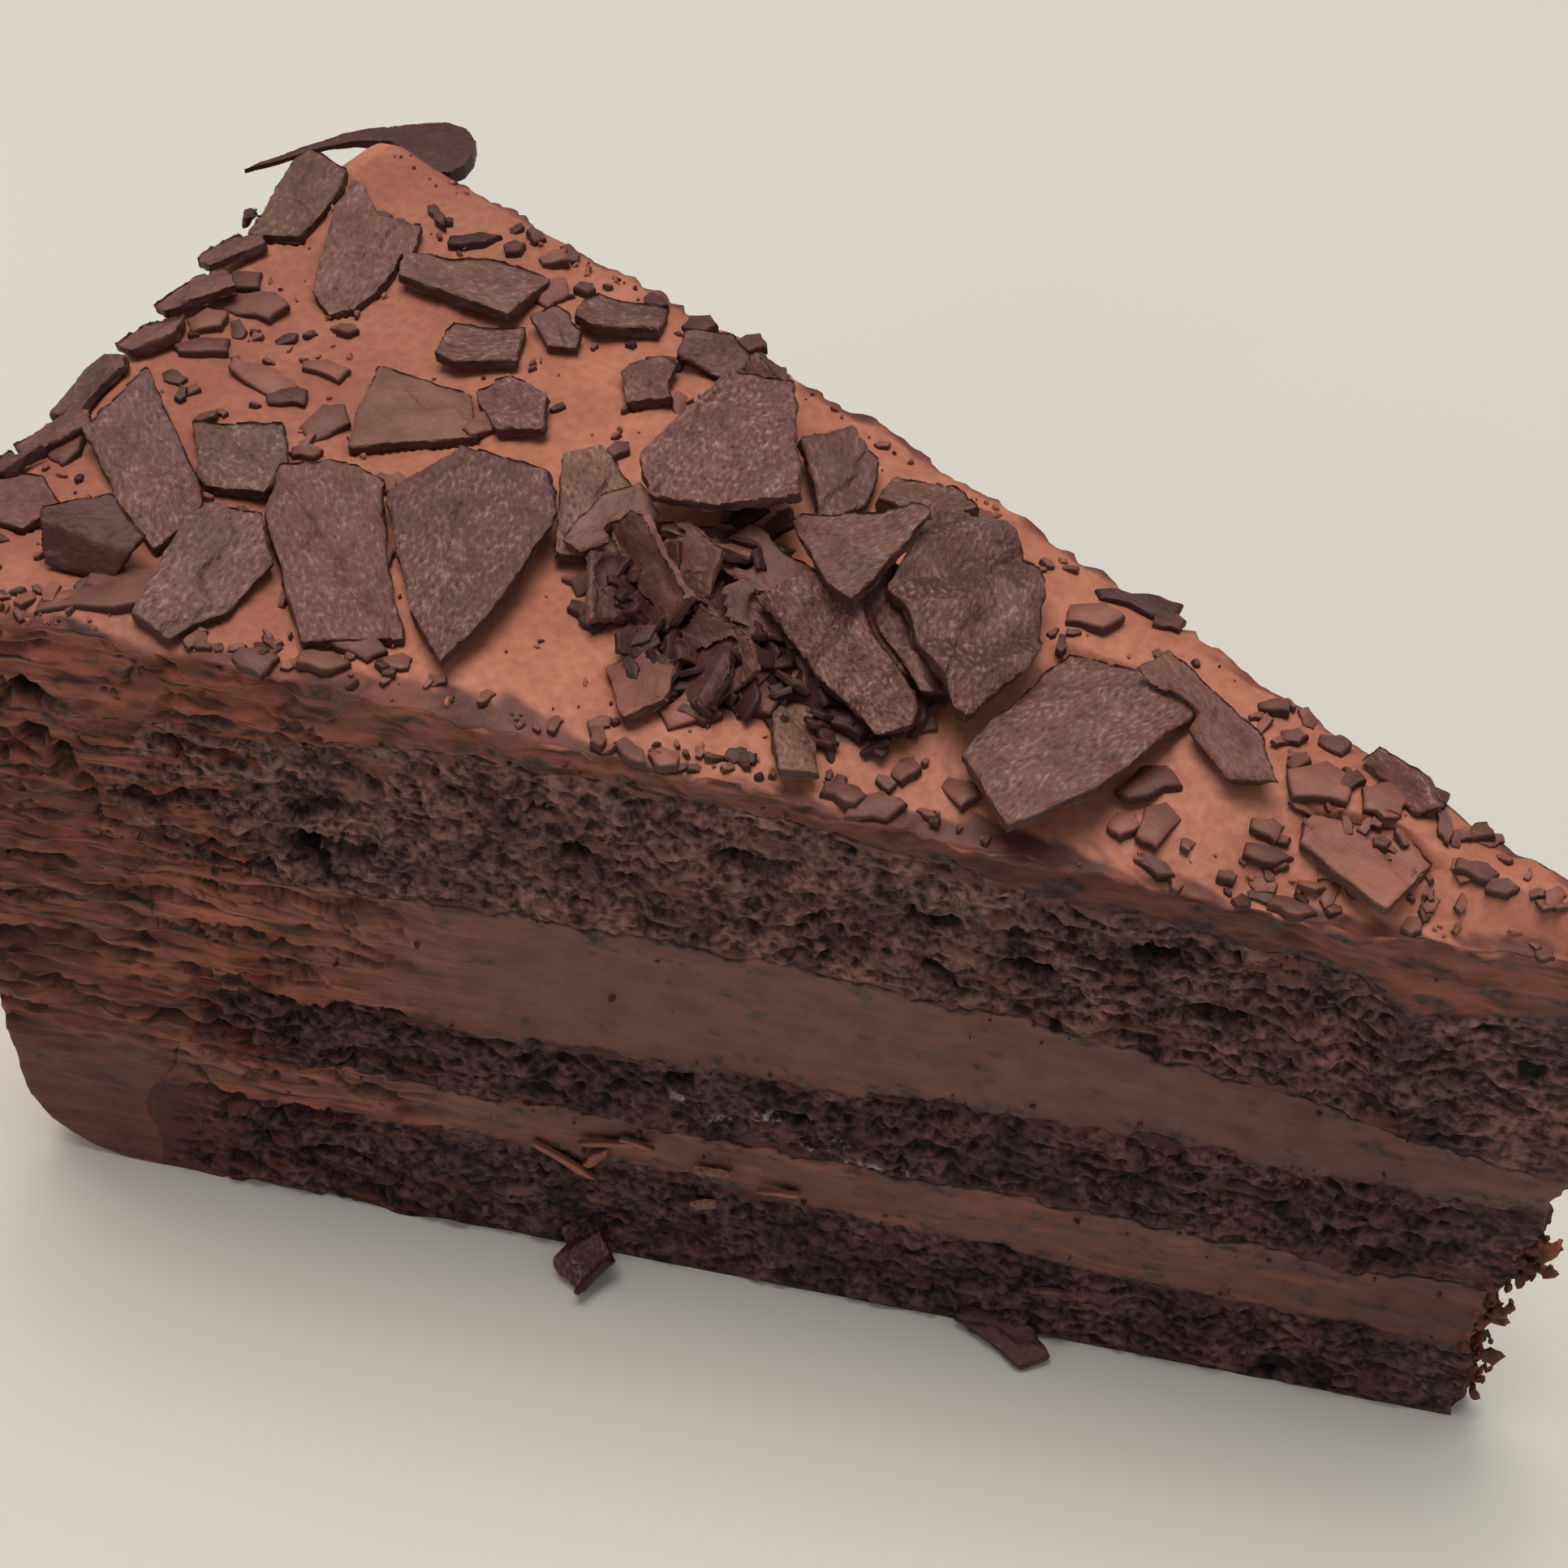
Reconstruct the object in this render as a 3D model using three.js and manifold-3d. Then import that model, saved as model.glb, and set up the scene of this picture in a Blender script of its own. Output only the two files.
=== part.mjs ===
// A slice of round chocolate layer cake: three sponge layers and two cream fillings under a coat
// of chocolate cream, with broken chocolate shards lying and standing on top.
// Millimetres, +Z up. The slice's middle line runs along X with its tip towards +X, the front cut
// face looks towards -Y, and the origin is on the base, halfway between the cake's centre and its rim.
import * as THREE from "three";
import { ImprovedNoise } from "three/addons/math/ImprovedNoise.js";
import { mergeVertices } from "three/addons/utils/BufferGeometryUtils.js";
import Module from "manifold-3d";

// Driving dimensions
const cakeRadius = 125;
const sliceAngle = THREE.MathUtils.degToRad(30);
const backTopHeight = 64;
const topEdgeRadius = 5;
const cornerEdgeRadius = 3;
const footEdgeRadius = 9;
const coatBulge = 0.8;
const layerGap = 0.3;
const tipSetbackLow = 5;
const tipSetbackHigh = 3;
const tornTipHeight = 22;
const crumbRelief = 0.7;
const creamRelief = 0.25;
const cragSize = { along: 4.5, up: 3.2 };
const lumpSize = { along: 11, up: 6 };
const raggedTip = { depth: 0.9, size: 3.3 };
const layerWander = { depth: 1.6, size: 31 };
const coatSwell = { depth: 0.5, size: 17 };
const shardThickness = 1.2;
const flakeThickness = 0.8;

// Heights of the layer boundaries at equal steps from the tip to the coat
const layerStations = [0, 37, 74, 111];
const bottomSpongeTop = [10.6, 11.8, 14.2, 12.6];
const middleSpongeBase = [18.2, 19.4, 19.8, 19.4];
const middleSpongeTop = [29.8, 31, 29, 28.4];
const topSpongeBase = [34, 41.8, 44.2, 42.4];
const topSpongeTop = [52, 57, 61.4, 58.4];
const coatTopFront = [60, 60.8, 64.6, 67.2];
const coatTopBack = [62.6, 63.8, 65.2, 64];

// Inside radius of the coat's outer wall, at equal steps up from the base
const wallStations = [0, 12, 24, 36, 48, 60];
const wallInside = [114.5, 113, 107.5, 109.5, 112, 113];

// Steps of the faceted blocks: along the slice, across it, and up
const spongeSteps = [34, 3, 4];
const creamSteps = [26, 3, 2];
const coatTopSteps = 24;
const coatWallSteps = 14;
const coatSteps = [coatTopSteps + coatWallSteps, 6, 2];

const colours = {
  sponge: 0x3a2b27,
  cream: 0x63463d,
  coat: 0xa2664b,
  shard: 0x6b4f49,
  darkShard: 0x3d2a2a,
};

const { lerp, clamp, smoothstep, degToRad } = THREE.MathUtils;
const halfAngle = sliceAngle / 2;
const tipX = cakeRadius / 2;
const perlin = new ImprovedNoise();

// A smooth value through equally spaced stations.
function through(stations, values, place) {
  const last = values.length - 1;
  const step = (place - stations[0]) / (stations[1] - stations[0]);
  const i = clamp(Math.floor(step), 0, last - 1);
  const t = clamp(step - i, 0, 1);
  const [a, b, c, d] = [i - 1, i, i + 1, i + 2].map((n) => values[clamp(n, 0, last)]);
  return b + (t / 2) * (c - a + t * (2 * a - 5 * b + 4 * c - d + t * (3 * (b - c) + d - a)));
}

// A point of the slice, from its radius about the cake's centre, its angle and its height.
function polar(radius, angle, height) {
  return new THREE.Vector3(tipX - radius * Math.cos(angle), radius * Math.sin(angle), height);
}

// Layers sit as cut at the front face and wander a little towards the back one.
function boundary(heights, radius, angle) {
  const backShare = (angle + halfAngle) / sliceAngle;
  const wander = perlin.noise(radius / layerWander.size, backShare, heights[0]);
  return through(layerStations, heights, radius) + layerWander.depth * backShare * wander;
}

// The coat's top: a ridge along the front edge near the rim that sinks towards the tip.
function coatTop(radius, angle) {
  const backShare = smoothstep(angle, -halfAngle, halfAngle * 0.3);
  const front = through(layerStations, coatTopFront, radius);
  const back = through(layerStations, coatTopBack, radius);
  const swell = perlin.noise(radius / coatSwell.size, (radius * angle) / coatSwell.size, 0.5);
  return lerp(front, back, backShare) + coatSwell.depth * swell;
}

function wallRadius(height) {
  return through(wallStations, wallInside, height);
}

// Radius of the rim's edge, which is tighter towards the back corner.
function topEdge(angle) {
  return lerp(topEdgeRadius, cornerEdgeRadius, smoothstep(angle, halfAngle / 2, halfAngle));
}

// The tip is torn back near the base.
function tipRadius(height) {
  const torn = 1 - smoothstep(height, tornTipHeight * 0.6, tornTipHeight * 1.3);
  const ragged = perlin.noise(height / raggedTip.size, 0.5, 0.5);
  return lerp(tipSetbackHigh, tipSetbackLow, torn) + raggedTip.depth * ragged;
}

// A closed block over a grid of steps, whose points are given by place(u, v, w), each from 0 to 1:
// u from the tip outwards, v from the front face to the back one, and w upwards or outwards.
function curvedBlock([uSteps, vSteps, wSteps], place) {
  const corners = [];
  const at = (i, j, k) => place(i / uSteps, j / vSteps, k / wSteps);
  const face = (aSteps, bSteps, corner) => {
    for (let a = 0; a < aSteps; a++) {
      for (let b = 0; b < bSteps; b++) {
        const [p, q, r, s] = [corner(a, b), corner(a + 1, b), corner(a + 1, b + 1), corner(a, b + 1)];
        corners.push(p, q, r, p, r, s);
      }
    }
  };
  face(vSteps, uSteps, (j, i) => at(i, j, wSteps));
  face(uSteps, vSteps, (i, j) => at(i, j, 0));
  face(wSteps, uSteps, (k, i) => at(i, 0, k));
  face(uSteps, wSteps, (i, k) => at(i, vSteps, k));
  face(vSteps, wSteps, (j, k) => at(0, j, k));
  face(wSteps, vSteps, (k, j) => at(uSteps, j, k));
  return mergeVertices(new THREE.BufferGeometry().setFromPoints(corners), 1e-4);
}

// Crags on a cut face push it in or out along its own normal.
function cragged(point, radius, angle, height, depth) {
  const side = Math.sign(angle);
  if (Math.abs(angle) < halfAngle - 1e-6) return point;
  const crag = perlin.noise(radius / cragSize.along, height / cragSize.up, side / 2);
  const lump = perlin.noise(radius / lumpSize.along, height / lumpSize.up, side / 4);
  const clearOfTip = smoothstep(radius, 0, lumpSize.along);
  const outward = new THREE.Vector3(Math.sin(halfAngle), side * Math.cos(halfAngle), 0);
  return point.addScaledVector(outward, depth * (crag + lump) * clearOfTip);
}

// A layer of sponge or cream between two boundaries, out to the coat's wall.
function layerBlock(steps, baseOf, topOf, relief) {
  return curvedBlock(steps, (u, v, w) => {
    const angle = lerp(-halfAngle, halfAngle, v);
    const roughRadius = lerp(tipSetbackHigh, layerStations.at(-1), u);
    const base = baseOf(roughRadius, angle);
    const height = lerp(base, topOf(roughRadius, angle), w);
    const radius = lerp(tipRadius(height), wallRadius(height) - layerGap, u);
    return cragged(polar(radius, angle, height), radius, angle, height, relief);
  });
}

function spongeOrCream(steps, below, above, relief) {
  const baseOf = (radius, angle) => (below ? boundary(below, radius, angle) + layerGap / 2 : 0);
  const topOf = (radius, angle) => boundary(above, radius, angle) - layerGap / 2;
  return layerBlock(steps, baseOf, topOf, relief);
}

// The coat's outer face along its section: over the rim, down the side and under at the foot.
function coatWallOutside(share, angle) {
  const edge = topEdge(angle);
  const rim = coatTop(cakeRadius - edge, angle);
  const rimArc = (edge * Math.PI) / 2;
  const footArc = (footEdgeRadius * Math.PI) / 2;
  const straight = rim - edge - footEdgeRadius;
  const travel = share * (rimArc + straight + footArc);
  if (travel < rimArc) {
    const turn = travel / edge;
    return [cakeRadius - edge * (1 - Math.sin(turn)), rim - edge * (1 - Math.cos(turn))];
  }
  if (travel < rimArc + straight) {
    const down = travel - rimArc;
    const bulge = coatBulge * Math.sin((Math.PI * down) / straight);
    return [cakeRadius + bulge, rim - edge - down];
  }
  const turn = Math.min((travel - rimArc - straight) / footEdgeRadius, Math.PI / 2);
  const radius = cakeRadius - footEdgeRadius * (1 - Math.cos(turn));
  return [radius, footEdgeRadius * (1 - Math.sin(turn))];
}

// The coat lies over the top sponge, turns over the rim and comes down to the base.
function coatBlock() {
  const underside = (radius, angle) => boundary(topSpongeTop, radius, angle) + layerGap / 2;
  const innerCorner = wallRadius(through(layerStations, topSpongeTop, layerStations.at(-1)));
  const topShare = coatTopSteps / coatSteps[0];
  return curvedBlock(coatSteps, (u, v, w) => {
    const angle = lerp(-halfAngle, halfAngle, v);
    if (u <= topShare) {
      const t = u / topShare;
      const outerRadius = lerp(tipRadius(backTopHeight), cakeRadius - topEdge(angle), t);
      const innerRadius = lerp(tipRadius(backTopHeight), innerCorner, t);
      const height = lerp(underside(innerRadius, angle), coatTop(outerRadius, angle), w);
      const radius = lerp(innerRadius, outerRadius, w);
      return cragged(polar(radius, angle, height), radius, angle, height, creamRelief);
    }
    const share = (u - topShare) / (1 - topShare);
    const [outerRadius, outerHeight] = coatWallOutside(share, angle);
    const innerHeight = (1 - share) * underside(innerCorner, angle);
    const innerRadius = wallRadius(innerHeight);
    return polar(lerp(innerRadius, outerRadius, w), angle, lerp(innerHeight, outerHeight, w));
  });
}

// Outlines of broken chocolate, in shares of the piece's length and width
const outlines = {
  fan: [[-0.2, -0.5], [-0.5, -0.24], [-0.5, 0.3], [-0.32, 0.5], [0.25, 0.5], [0.5, 0.42], [0.3, 0.06]],
  slab: [[-0.5, -0.33], [-0.47, 0.28], [-0.33, 0.5], [0.07, 0.4], [0.5, 0.46], [0.5, -0.33], [-0.25, -0.5]],
  strap: [[-0.3, -0.5], [-0.5, 0.5], [0.25, 0.5], [0.4, 0.36], [0.5, -0.3], [0.16, -0.46]],
  block: [[-0.5, -0.48], [-0.3, 0.5], [0.24, 0.5], [0.5, 0.18], [0.26, -0.5]],
  shell: [[-0.47, -0.33], [-0.5, 0.18], [-0.23, 0.5], [0.2, 0.34], [0.5, 0], [0.42, -0.46], [-0.3, -0.5]],
  quoin: [[-0.2, 0.5], [0.48, 0.07], [0.5, -0.5], [-0.5, -0.5], [-0.42, -0.1]],
  gable: [[-0.5, 0.1], [-0.34, 0.5], [0.5, 0.5], [0.5, -0.04], [0.38, -0.45], [0.09, -0.5]],
  gusset: [[0.08, -0.5], [-0.5, 0.42], [-0.44, 0.5], [0.5, 0.5], [0.45, 0.2]],
  tongue: [[-0.5, -0.5], [-0.36, 0.5], [0.02, 0.26], [0.38, 0.22], [0.5, -0.04], [0.44, -0.4], [0, -0.5]],
  sail: [[-0.5, 0.1], [-0.34, 0.5], [0, 0.5], [0.28, 0.24], [0.5, -0.46], [0.26, -0.5], [-0.16, -0.5]],
  plank: [[-0.35, -0.5], [-0.5, 0.1], [-0.38, 0.5], [0.16, 0.5], [0.5, 0.25], [0.34, -0.38]],
  kite: [[0.5, -0.2], [0.28, 0.4], [-0.2, 0.5], [-0.5, 0.16], [-0.3, -0.5]],
  wedge: [[0.5, 0.34], [0.1, 0.5], [-0.5, 0.12], [-0.42, -0.3], [0.44, -0.5]],
  blade: [[0.5, 0.1], [0.2, 0.5], [-0.46, 0.34], [-0.5, -0.3], [0.3, -0.5]],
  chip: [[0.5, 0], [0.14, 0.5], [-0.46, 0.34], [-0.5, -0.3], [0.16, -0.5]],
  leaf: [[0.5, -0.4], [0.07, -0.42], [-0.34, -0.5], [-0.5, -0.28], [-0.38, 0.39], [-0.2, 0.5], [0.43, 0.41]],
  mitt: [
    [0.34, -0.5], [0.05, -0.5], [-0.29, -0.44], [-0.5, -0.3], [-0.43, -0.15], [-0.2, 0.05], [-0.14, 0.5],
    [0.02, 0.5], [0.29, 0.22], [0.46, -0.04], [0.5, -0.29],
  ],
  sliver: [
    [-0.5, 0.2], [-0.37, 0.3], [-0.24, 0.39], [-0.03, 0.5], [0.13, 0.48], [0.3, 0.41], [0.41, 0.33],
    [0.48, 0.18], [0.5, -0.04], [0.47, -0.26], [0.42, -0.42], [0.35, -0.5], [0.28, -0.46], [0.2, -0.18],
    [0.15, 0.19], [0.02, 0.31], [-0.11, 0.33], [-0.31, 0.24],
  ],
};

// Each shard: its outline, length, width, radius and angle of its middle on the slice, heading from
// the middle line, lift of its middle above the coat, then how far it is rolled and pitched, in degrees.
const shards = {
  shard_fan: ["fan", 20, 13, 89, -6.5, -86, 1.8, 6, 2],
  shard_slab: ["slab", 17.5, 9.2, 96.1, -8, -52, 1.2, -5, 3],
  shard_long: ["strap", 17, 6.2, 112.7, -6.3, -38, 1.2, 8, 4],
  shard_block: ["block", 9.8, 6.8, 107, -4.2, -50, 0.8, 4, -4],
  shard_dark: ["chip", 7.6, 6.4, 111.6, -11, 24, 2, 46, -4],
  shard_front: ["shell", 12.5, 7.4, 103.1, -11.2, -82, 1.2, -8, 5],
  shard_smooth: ["quoin", 9.8, 8.8, 99.9, 2.2, 36, 0.4, 0, 2],
  shard_five: ["chip", 7.6, 5, 92.3, 4, -26, 0.8, 10, -6],
  shard_tile: ["slab", 6.4, 5.8, 99, 6.7, 24, 0.6, -8, 3],
  shard_ledge: ["wedge", 12.2, 7, 104.6, 9.7, 4, 0.8, -7, -3],
  shard_back: ["mitt", 15.6, 7.8, 113.9, 9.2, -65, 0.6, 5, 3],
  shard_rim: ["leaf", 11.6, 5.4, 122.7, 9.9, -81, 0.1, 2, 0],
  shard_rim_low: ["slab", 7.5, 4, 122.2, -2.6, -88, -0.4, 28, 0],
  shard_corner: ["sliver", 19.9, 7.7, 124.9, 13.7, 42, -2.7, 0, 0],
  shard_broad: ["gable", 17.5, 11.5, 75.9, 5.7, -60, 4.2, 6, -10],
  shard_heap_back: ["kite", 9.4, 6, 67.9, 8.6, -64, 1.8, -10, 6],
  shard_heap_edge: ["chip", 7.8, 5, 61.5, 10.8, 6, 1.3, -10, -6],
  shard_heap_top: ["gusset", 10, 9, 62.6, 1.9, -100, 5.2, 6, 8],
  shard_heap_front: ["tongue", 15, 6.6, 58.7, -4.4, -28, 3.2, 22, 10],
  shard_heap_end: ["sail", 18, 11.5, 52.6, 2.6, -38, 3.4, -12, 10],
  shard_grain: ["wedge", 11, 7.5, 81.3, 0, -54, 1.2, -6, 6],
  shard_plank: ["plank", 19, 10.8, 43, -4, -106, 1.9, 6, -4],
  shard_strip: ["blade", 13.5, 4, 34.4, 3.4, -28, 1.6, 30, 3],
  shard_flat: ["wedge", 9, 6.6, 21.9, -4.5, -10, 0.45, 0, 1],
  shard_edge: ["blade", 6.8, 2.6, 21.5, 11.6, -22, 0.9, 40, 0],
  shard_stub: ["slab", 7.6, 3.8, 60.4, -10.9, -64, 0.8, -6, -8],
  shard_small_a: ["slab", 6.8, 5, 92.4, 12, 16, 0.8, -10, 3],
  shard_small_b: ["chip", 5.2, 3.6, 94.9, 9.4, -26, 0.8, 10, 5],
  shard_small_c: ["slab", 5, 4.4, 85.8, 9, -62, 0.8, 12, -4],
  shard_small_d: ["chip", 6, 4, 83.5, 12.6, 20, 1.4, 30, 10],
  shard_small_e: ["blade", 5.4, 3, 78.6, 12.4, -40, 1.4, 48, 0],
  shard_heap_mid: ["plank", 12, 6, 56.2, -2, -46, 3.4, 20, 8],
  shard_heap_under: ["wedge", 8, 4.2, 72.4, 0.2, 12, 1.6, -24, 4],
  shard_heap_inner: ["slab", 8, 4.6, 67.2, -0.4, -12, 1.8, 22, 6],
  shard_heap_chip: ["kite", 7, 5.2, 71.8, -10.4, -62, 0.7, 12, -5],
  shard_heap_foot: ["blade", 7.5, 4, 67.4, -8.2, -76, 1.4, 36, 8],
  shard_side: ["chip", 6.8, 5.2, 119.4, -9.4, 14, 0.5, 12, -6],
  shard_rim_a: ["blade", 6.4, 3.6, 122.3, 6, 72, 0.4, -16, 4],
  shard_rim_b: ["wedge", 6.8, 4.2, 121.5, 3.2, 58, 0.6, -12, -4],
  shard_rim_c: ["chip", 6, 4, 121.2, 0.6, 70, 0.3, -18, 3],
  shard_rim_d: ["blade", 6.6, 3.6, 121, -5.6, 66, 0.4, -14, -3],
  shard_rim_e: ["wedge", 5.4, 3.4, 122.4, -7.6, 84, 0.3, -24, 4],
  shard_rim_f: ["chip", 3.8, 2.4, 123.3, 8.2, 40, 0.3, -8, 6],
};

// Dark pieces leaning this way and that in the hollow of the heap
const heapBlades = {
  heap_blade_1: ["slab", 9.6, 4.4, 74.4, -3.6, -36, 2.8, 66, 8],
  heap_blade_2: ["wedge", 7.6, 4.2, 79.2, -1.6, 62, 2.4, 18, -6],
  heap_blade_3: ["chip", 6.6, 5.4, 72.4, -2.2, -34, 2, 34, 8],
  heap_blade_4: ["wedge", 7.4, 5, 67.6, -7, -30, 1.8, 46, 10],
  heap_blade_5: ["chip", 7.4, 5.4, 69.6, -5.6, -64, 2, -30, 10],
  heap_blade_6: ["kite", 7, 5, 76.6, -5.2, -74, 1.6, -26, 8],
  heap_blade_7: ["kite", 6.4, 5, 66.6, -4, 14, 1.6, 16, 5],
};

// Two pieces stuck in the foot of the front face
const footShards = {
  foot_shard_a: ["chip", 7, 5.4, 76.6, -16.6, -66, 2.4, 34, 16],
  foot_shard_b: ["blade", 8.5, 3.6, 41.5, -16.8, -6, 1.4, 16, 4],
};

// Small flakes pressed into the coat: radius and angle of the middle, length, width and heading
const flakes = [
  [120.2, 4.7, 4.6, 2.2, 35], [119.8, -5.8, 5.2, 2.4, -70], [119, 2.5, 3.3, 2.6, 57],
  [117.5, 1.1, 4.4, 2.2, 38], [117.1, 4.2, 5.4, 3, 12], [116.2, -5.9, 2.4, 1.4, -60],
  [115.9, 10.8, 2, 1.3, -2], [115.4, -1.7, 1.6, 0.9, -70], [112.4, 12.3, 3.5, 1, -38],
  [111.5, 0.7, 6, 2.4, -4], [109.3, -13.1, 10.1, 2.8, 34], [109.3, 4.9, 1.8, 1.2, 20],
  [108.4, 0.1, 3.2, 1.8, 30], [108.4, -12.1, 6.3, 2.4, 22], [108.2, 12.2, 4.4, 1.6, 37],
  [108, 2.4, 4, 1.8, 4], [104.9, -7.3, 2.4, 1.7, 27], [104.9, 12.8, 1.8, 1.6, 44],
  [104.8, 14, 1.8, 1.3, -25], [104.2, -0.4, 4, 2.8, 70], [103.6, -2.4, 2.4, 1.4, 40],
  [101.7, 13.4, 2.4, 2, 40], [101.3, 14.2, 2.1, 1.3, -34], [98.9, 11.6, 3.4, 2.6, 84],
  [97.7, -14.4, 3.1, 2.7, 1], [97.2, 12.7, 1.7, 1.5, 5], [96.6, -2.8, 2.6, 1.5, -20],
  [93.9, 2.6, 3, 2.2, 60], [93.8, -6.7, 4.2, 2.2, -41], [92.9, -13.9, 3.8, 2, 24],
  [92.1, 14.2, 2.3, 1.8, -34], [91.4, -12.4, 4.6, 2.4, 6], [87.4, 14.3, 2.8, 2.4, 10],
  [86.6, 10.9, 3, 1.4, 20], [84.2, 13, 3, 2.6, 3], [83.4, 4.3, 2.1, 1.5, 77], [83.3, 14.8, 2.8, 2.4, 47],
  [80.7, 12.5, 2.3, 2, 55], [79.4, 13.9, 3.2, 2.2, -4], [77.9, -6.4, 2.9, 2, -5],
  [77.9, 12.5, 2.2, 1.8, -2], [77.5, -4.4, 2.9, 2.2, -29], [73.5, -7.1, 3, 2.2, -23],
  [73.4, -14.1, 2.5, 1.2, -58], [70.9, -14.5, 2.8, 1.4, -17], [70.4, -7.3, 2.9, 2.4, -23],
  [70.3, -9.8, 2.3, 2, 6], [68.6, -14.3, 2.3, 2, -16], [68.4, -5.3, 2.8, 2.2, -21],
  [68.3, -10.9, 3.8, 2.6, 58], [67.3, -10.7, 3.2, 2.2, 14], [65.9, -6.6, 3, 2.2, -39],
  [63.9, -8.6, 3.6, 2.6, -44], [61.1, -4.5, 4.1, 2.6, -4], [57.9, -8.1, 4.4, 2.6, -1],
  [56.3, -13.6, 3.2, 1.8, 15], [54, -13.9, 4.4, 2.4, 28], [53.8, -11.9, 1.5, 1.1, -9],
  [52.7, -10.4, 2.2, 1.7, 77], [52.3, 9.8, 3, 1.2, -50], [48.8, -10.7, 2.8, 2.2, -21],
  [46.9, 5.4, 1.8, 0.8, -70], [46.4, 10, 4.2, 3, 20], [45.1, 14.2, 6.4, 1.8, 14],
  [42.3, 14.2, 2.4, 1.5, 20], [37.5, -9.4, 2.4, 2, 73], [37, -4.6, 4.6, 3, 53],
  [35.4, -8.4, 3.8, 2.6, 89], [34.8, -12.8, 3, 1.3, -2], [32.2, 11.8, 2.3, 1.4, 22],
  [30, -12.1, 1.4, 1, 22], [29.7, 9.3, 2, 1.3, 23], [28.4, -5, 2.3, 1.9, 4], [28.3, 5.7, 1.8, 1.3, 69],
  [27.7, -8.1, 3.5, 1.6, 18], [27.4, 12.2, 2.3, 1.6, -5], [26.2, 3.6, 4.6, 4, 34],
  [25.3, -14, 3.4, 1.6, 6], [24.6, 6.5, 2, 1.3, 65], [22, 6.5, 3.2, 2.8, 29], [20.8, -1.3, 1.3, 1.1, 27],
  [19.7, 13.6, 2.2, 1.3, 10], [18.6, -4.3, 2.2, 1.2, -60], [17.6, 7.2, 2.8, 1.1, -58],
  [15.8, 12.7, 2, 1.7, 46], [14.4, 0.9, 3.1, 1.6, 12], [12.4, -0.8, 2.3, 1.4, 15],
];
const flakeLift = 0.3;
const flakeTilt = { roll: 9, rollStep: 1.7, pitch: 8, pitchStep: 2.9 };
const flakeKinds = ["wedge", "blade", "chip"];

const wasm = await Module();
wasm.setup();

function toSolid(geometry) {
  const bare = new THREE.BufferGeometry().setAttribute("position", geometry.getAttribute("position"));
  if (geometry.index) bare.setIndex(geometry.index);
  const merged = mergeVertices(bare, 1e-4);
  const vertProperties = new Float32Array(merged.getAttribute("position").array);
  const triVerts = new Uint32Array(merged.index.array);
  return new wasm.Manifold(new wasm.Mesh({ numProp: 3, vertProperties, triVerts }));
}

// The largest body of a solid, without the scraps that a cut leaves.
function largestBody(solid) {
  return solid.decompose().reduce((best, body) => (body.volume() > best.volume() ? body : best));
}

function toGeometry(solid) {
  const { vertProperties, triVerts } = solid.getMesh();
  const geometry = new THREE.BufferGeometry();
  geometry.setAttribute("position", new THREE.BufferAttribute(new Float32Array(vertProperties), 3));
  geometry.setIndex(new THREE.BufferAttribute(new Uint32Array(triVerts), 1));
  return geometry;
}

// Keeps the sharpest corners of an outline from moving out too far
const sharpestSpread = 0.5;

// The corners of an outline in millimetres, with every side moved out by a clearance.
function cornersOf(kind, length, width, clearance) {
  const corners = outlines[kind].map(([u, v]) => new THREE.Vector2(u * length, v * width));
  const side = Math.sign(THREE.ShapeUtils.area(corners)) * clearance;
  const normal = (from, to) => new THREE.Vector2(to.y - from.y, from.x - to.x).normalize();
  return corners.map((corner, n) => {
    const before = normal(corners.at(n - 1), corner);
    const after = normal(corner, corners[(n + 1) % corners.length]);
    const spread = Math.max(1 + before.dot(after), sharpestSpread);
    return corner.clone().addScaledVector(before.add(after), side / spread);
  });
}

// A flat piece of chocolate, lying in its own XY plane about its middle, grown by a clearance.
function plate(kind, length, width, thickness, clearance = 0) {
  const shape = new THREE.Shape(cornersOf(kind, length, width, clearance));
  const depth = thickness + 2 * clearance;
  return new THREE.ExtrudeGeometry(shape, { depth, bevelEnabled: false }).translate(0, 0, -depth / 2);
}

// A mesh turned and set down on the coat, or above the base where it lies at the foot.
function setDown(object, [radius, angle, heading, lift, roll, pitch], ground) {
  object.position.copy(polar(radius, degToRad(angle), ground + lift));
  object.rotation.set(degToRad(roll), degToRad(pitch), degToRad(heading), "ZYX");
  object.updateMatrix();
  return object;
}

function shardMesh(name, [kind, length, width, ...pose], ground, colour) {
  const mesh = new THREE.Mesh(plate(kind, length, width, shardThickness), chocolate(colour));
  mesh.name = name;
  setDown(mesh, pose, ground);
  const roomy = plate(kind, length, width, shardThickness, layerGap).applyMatrix4(mesh.matrix);
  return { mesh, room: toSolid(roomy) };
}

function chocolate(color, roughness = 0.6) {
  return new THREE.MeshStandardMaterial({ color, roughness, metalness: 0 });
}

// The mesh with every one of these rooms cut out of it, in its own frame.
function cutOut(mesh, rooms) {
  const whole = toSolid(mesh.geometry.clone().applyMatrix4(mesh.matrix));
  const left = rooms.reduce((solid, room) => solid.subtract(room), whole);
  mesh.geometry = toGeometry(largestBody(left)).applyMatrix4(mesh.matrix.clone().invert());
}

// How far the coat has turned down over the rim at this radius.
function rimDrop(radius, angle) {
  const edge = topEdge(angle);
  const over = Math.max(radius - cakeRadius + edge, 0);
  return edge - Math.sqrt(Math.max(edge ** 2 - over ** 2, 0));
}

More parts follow.
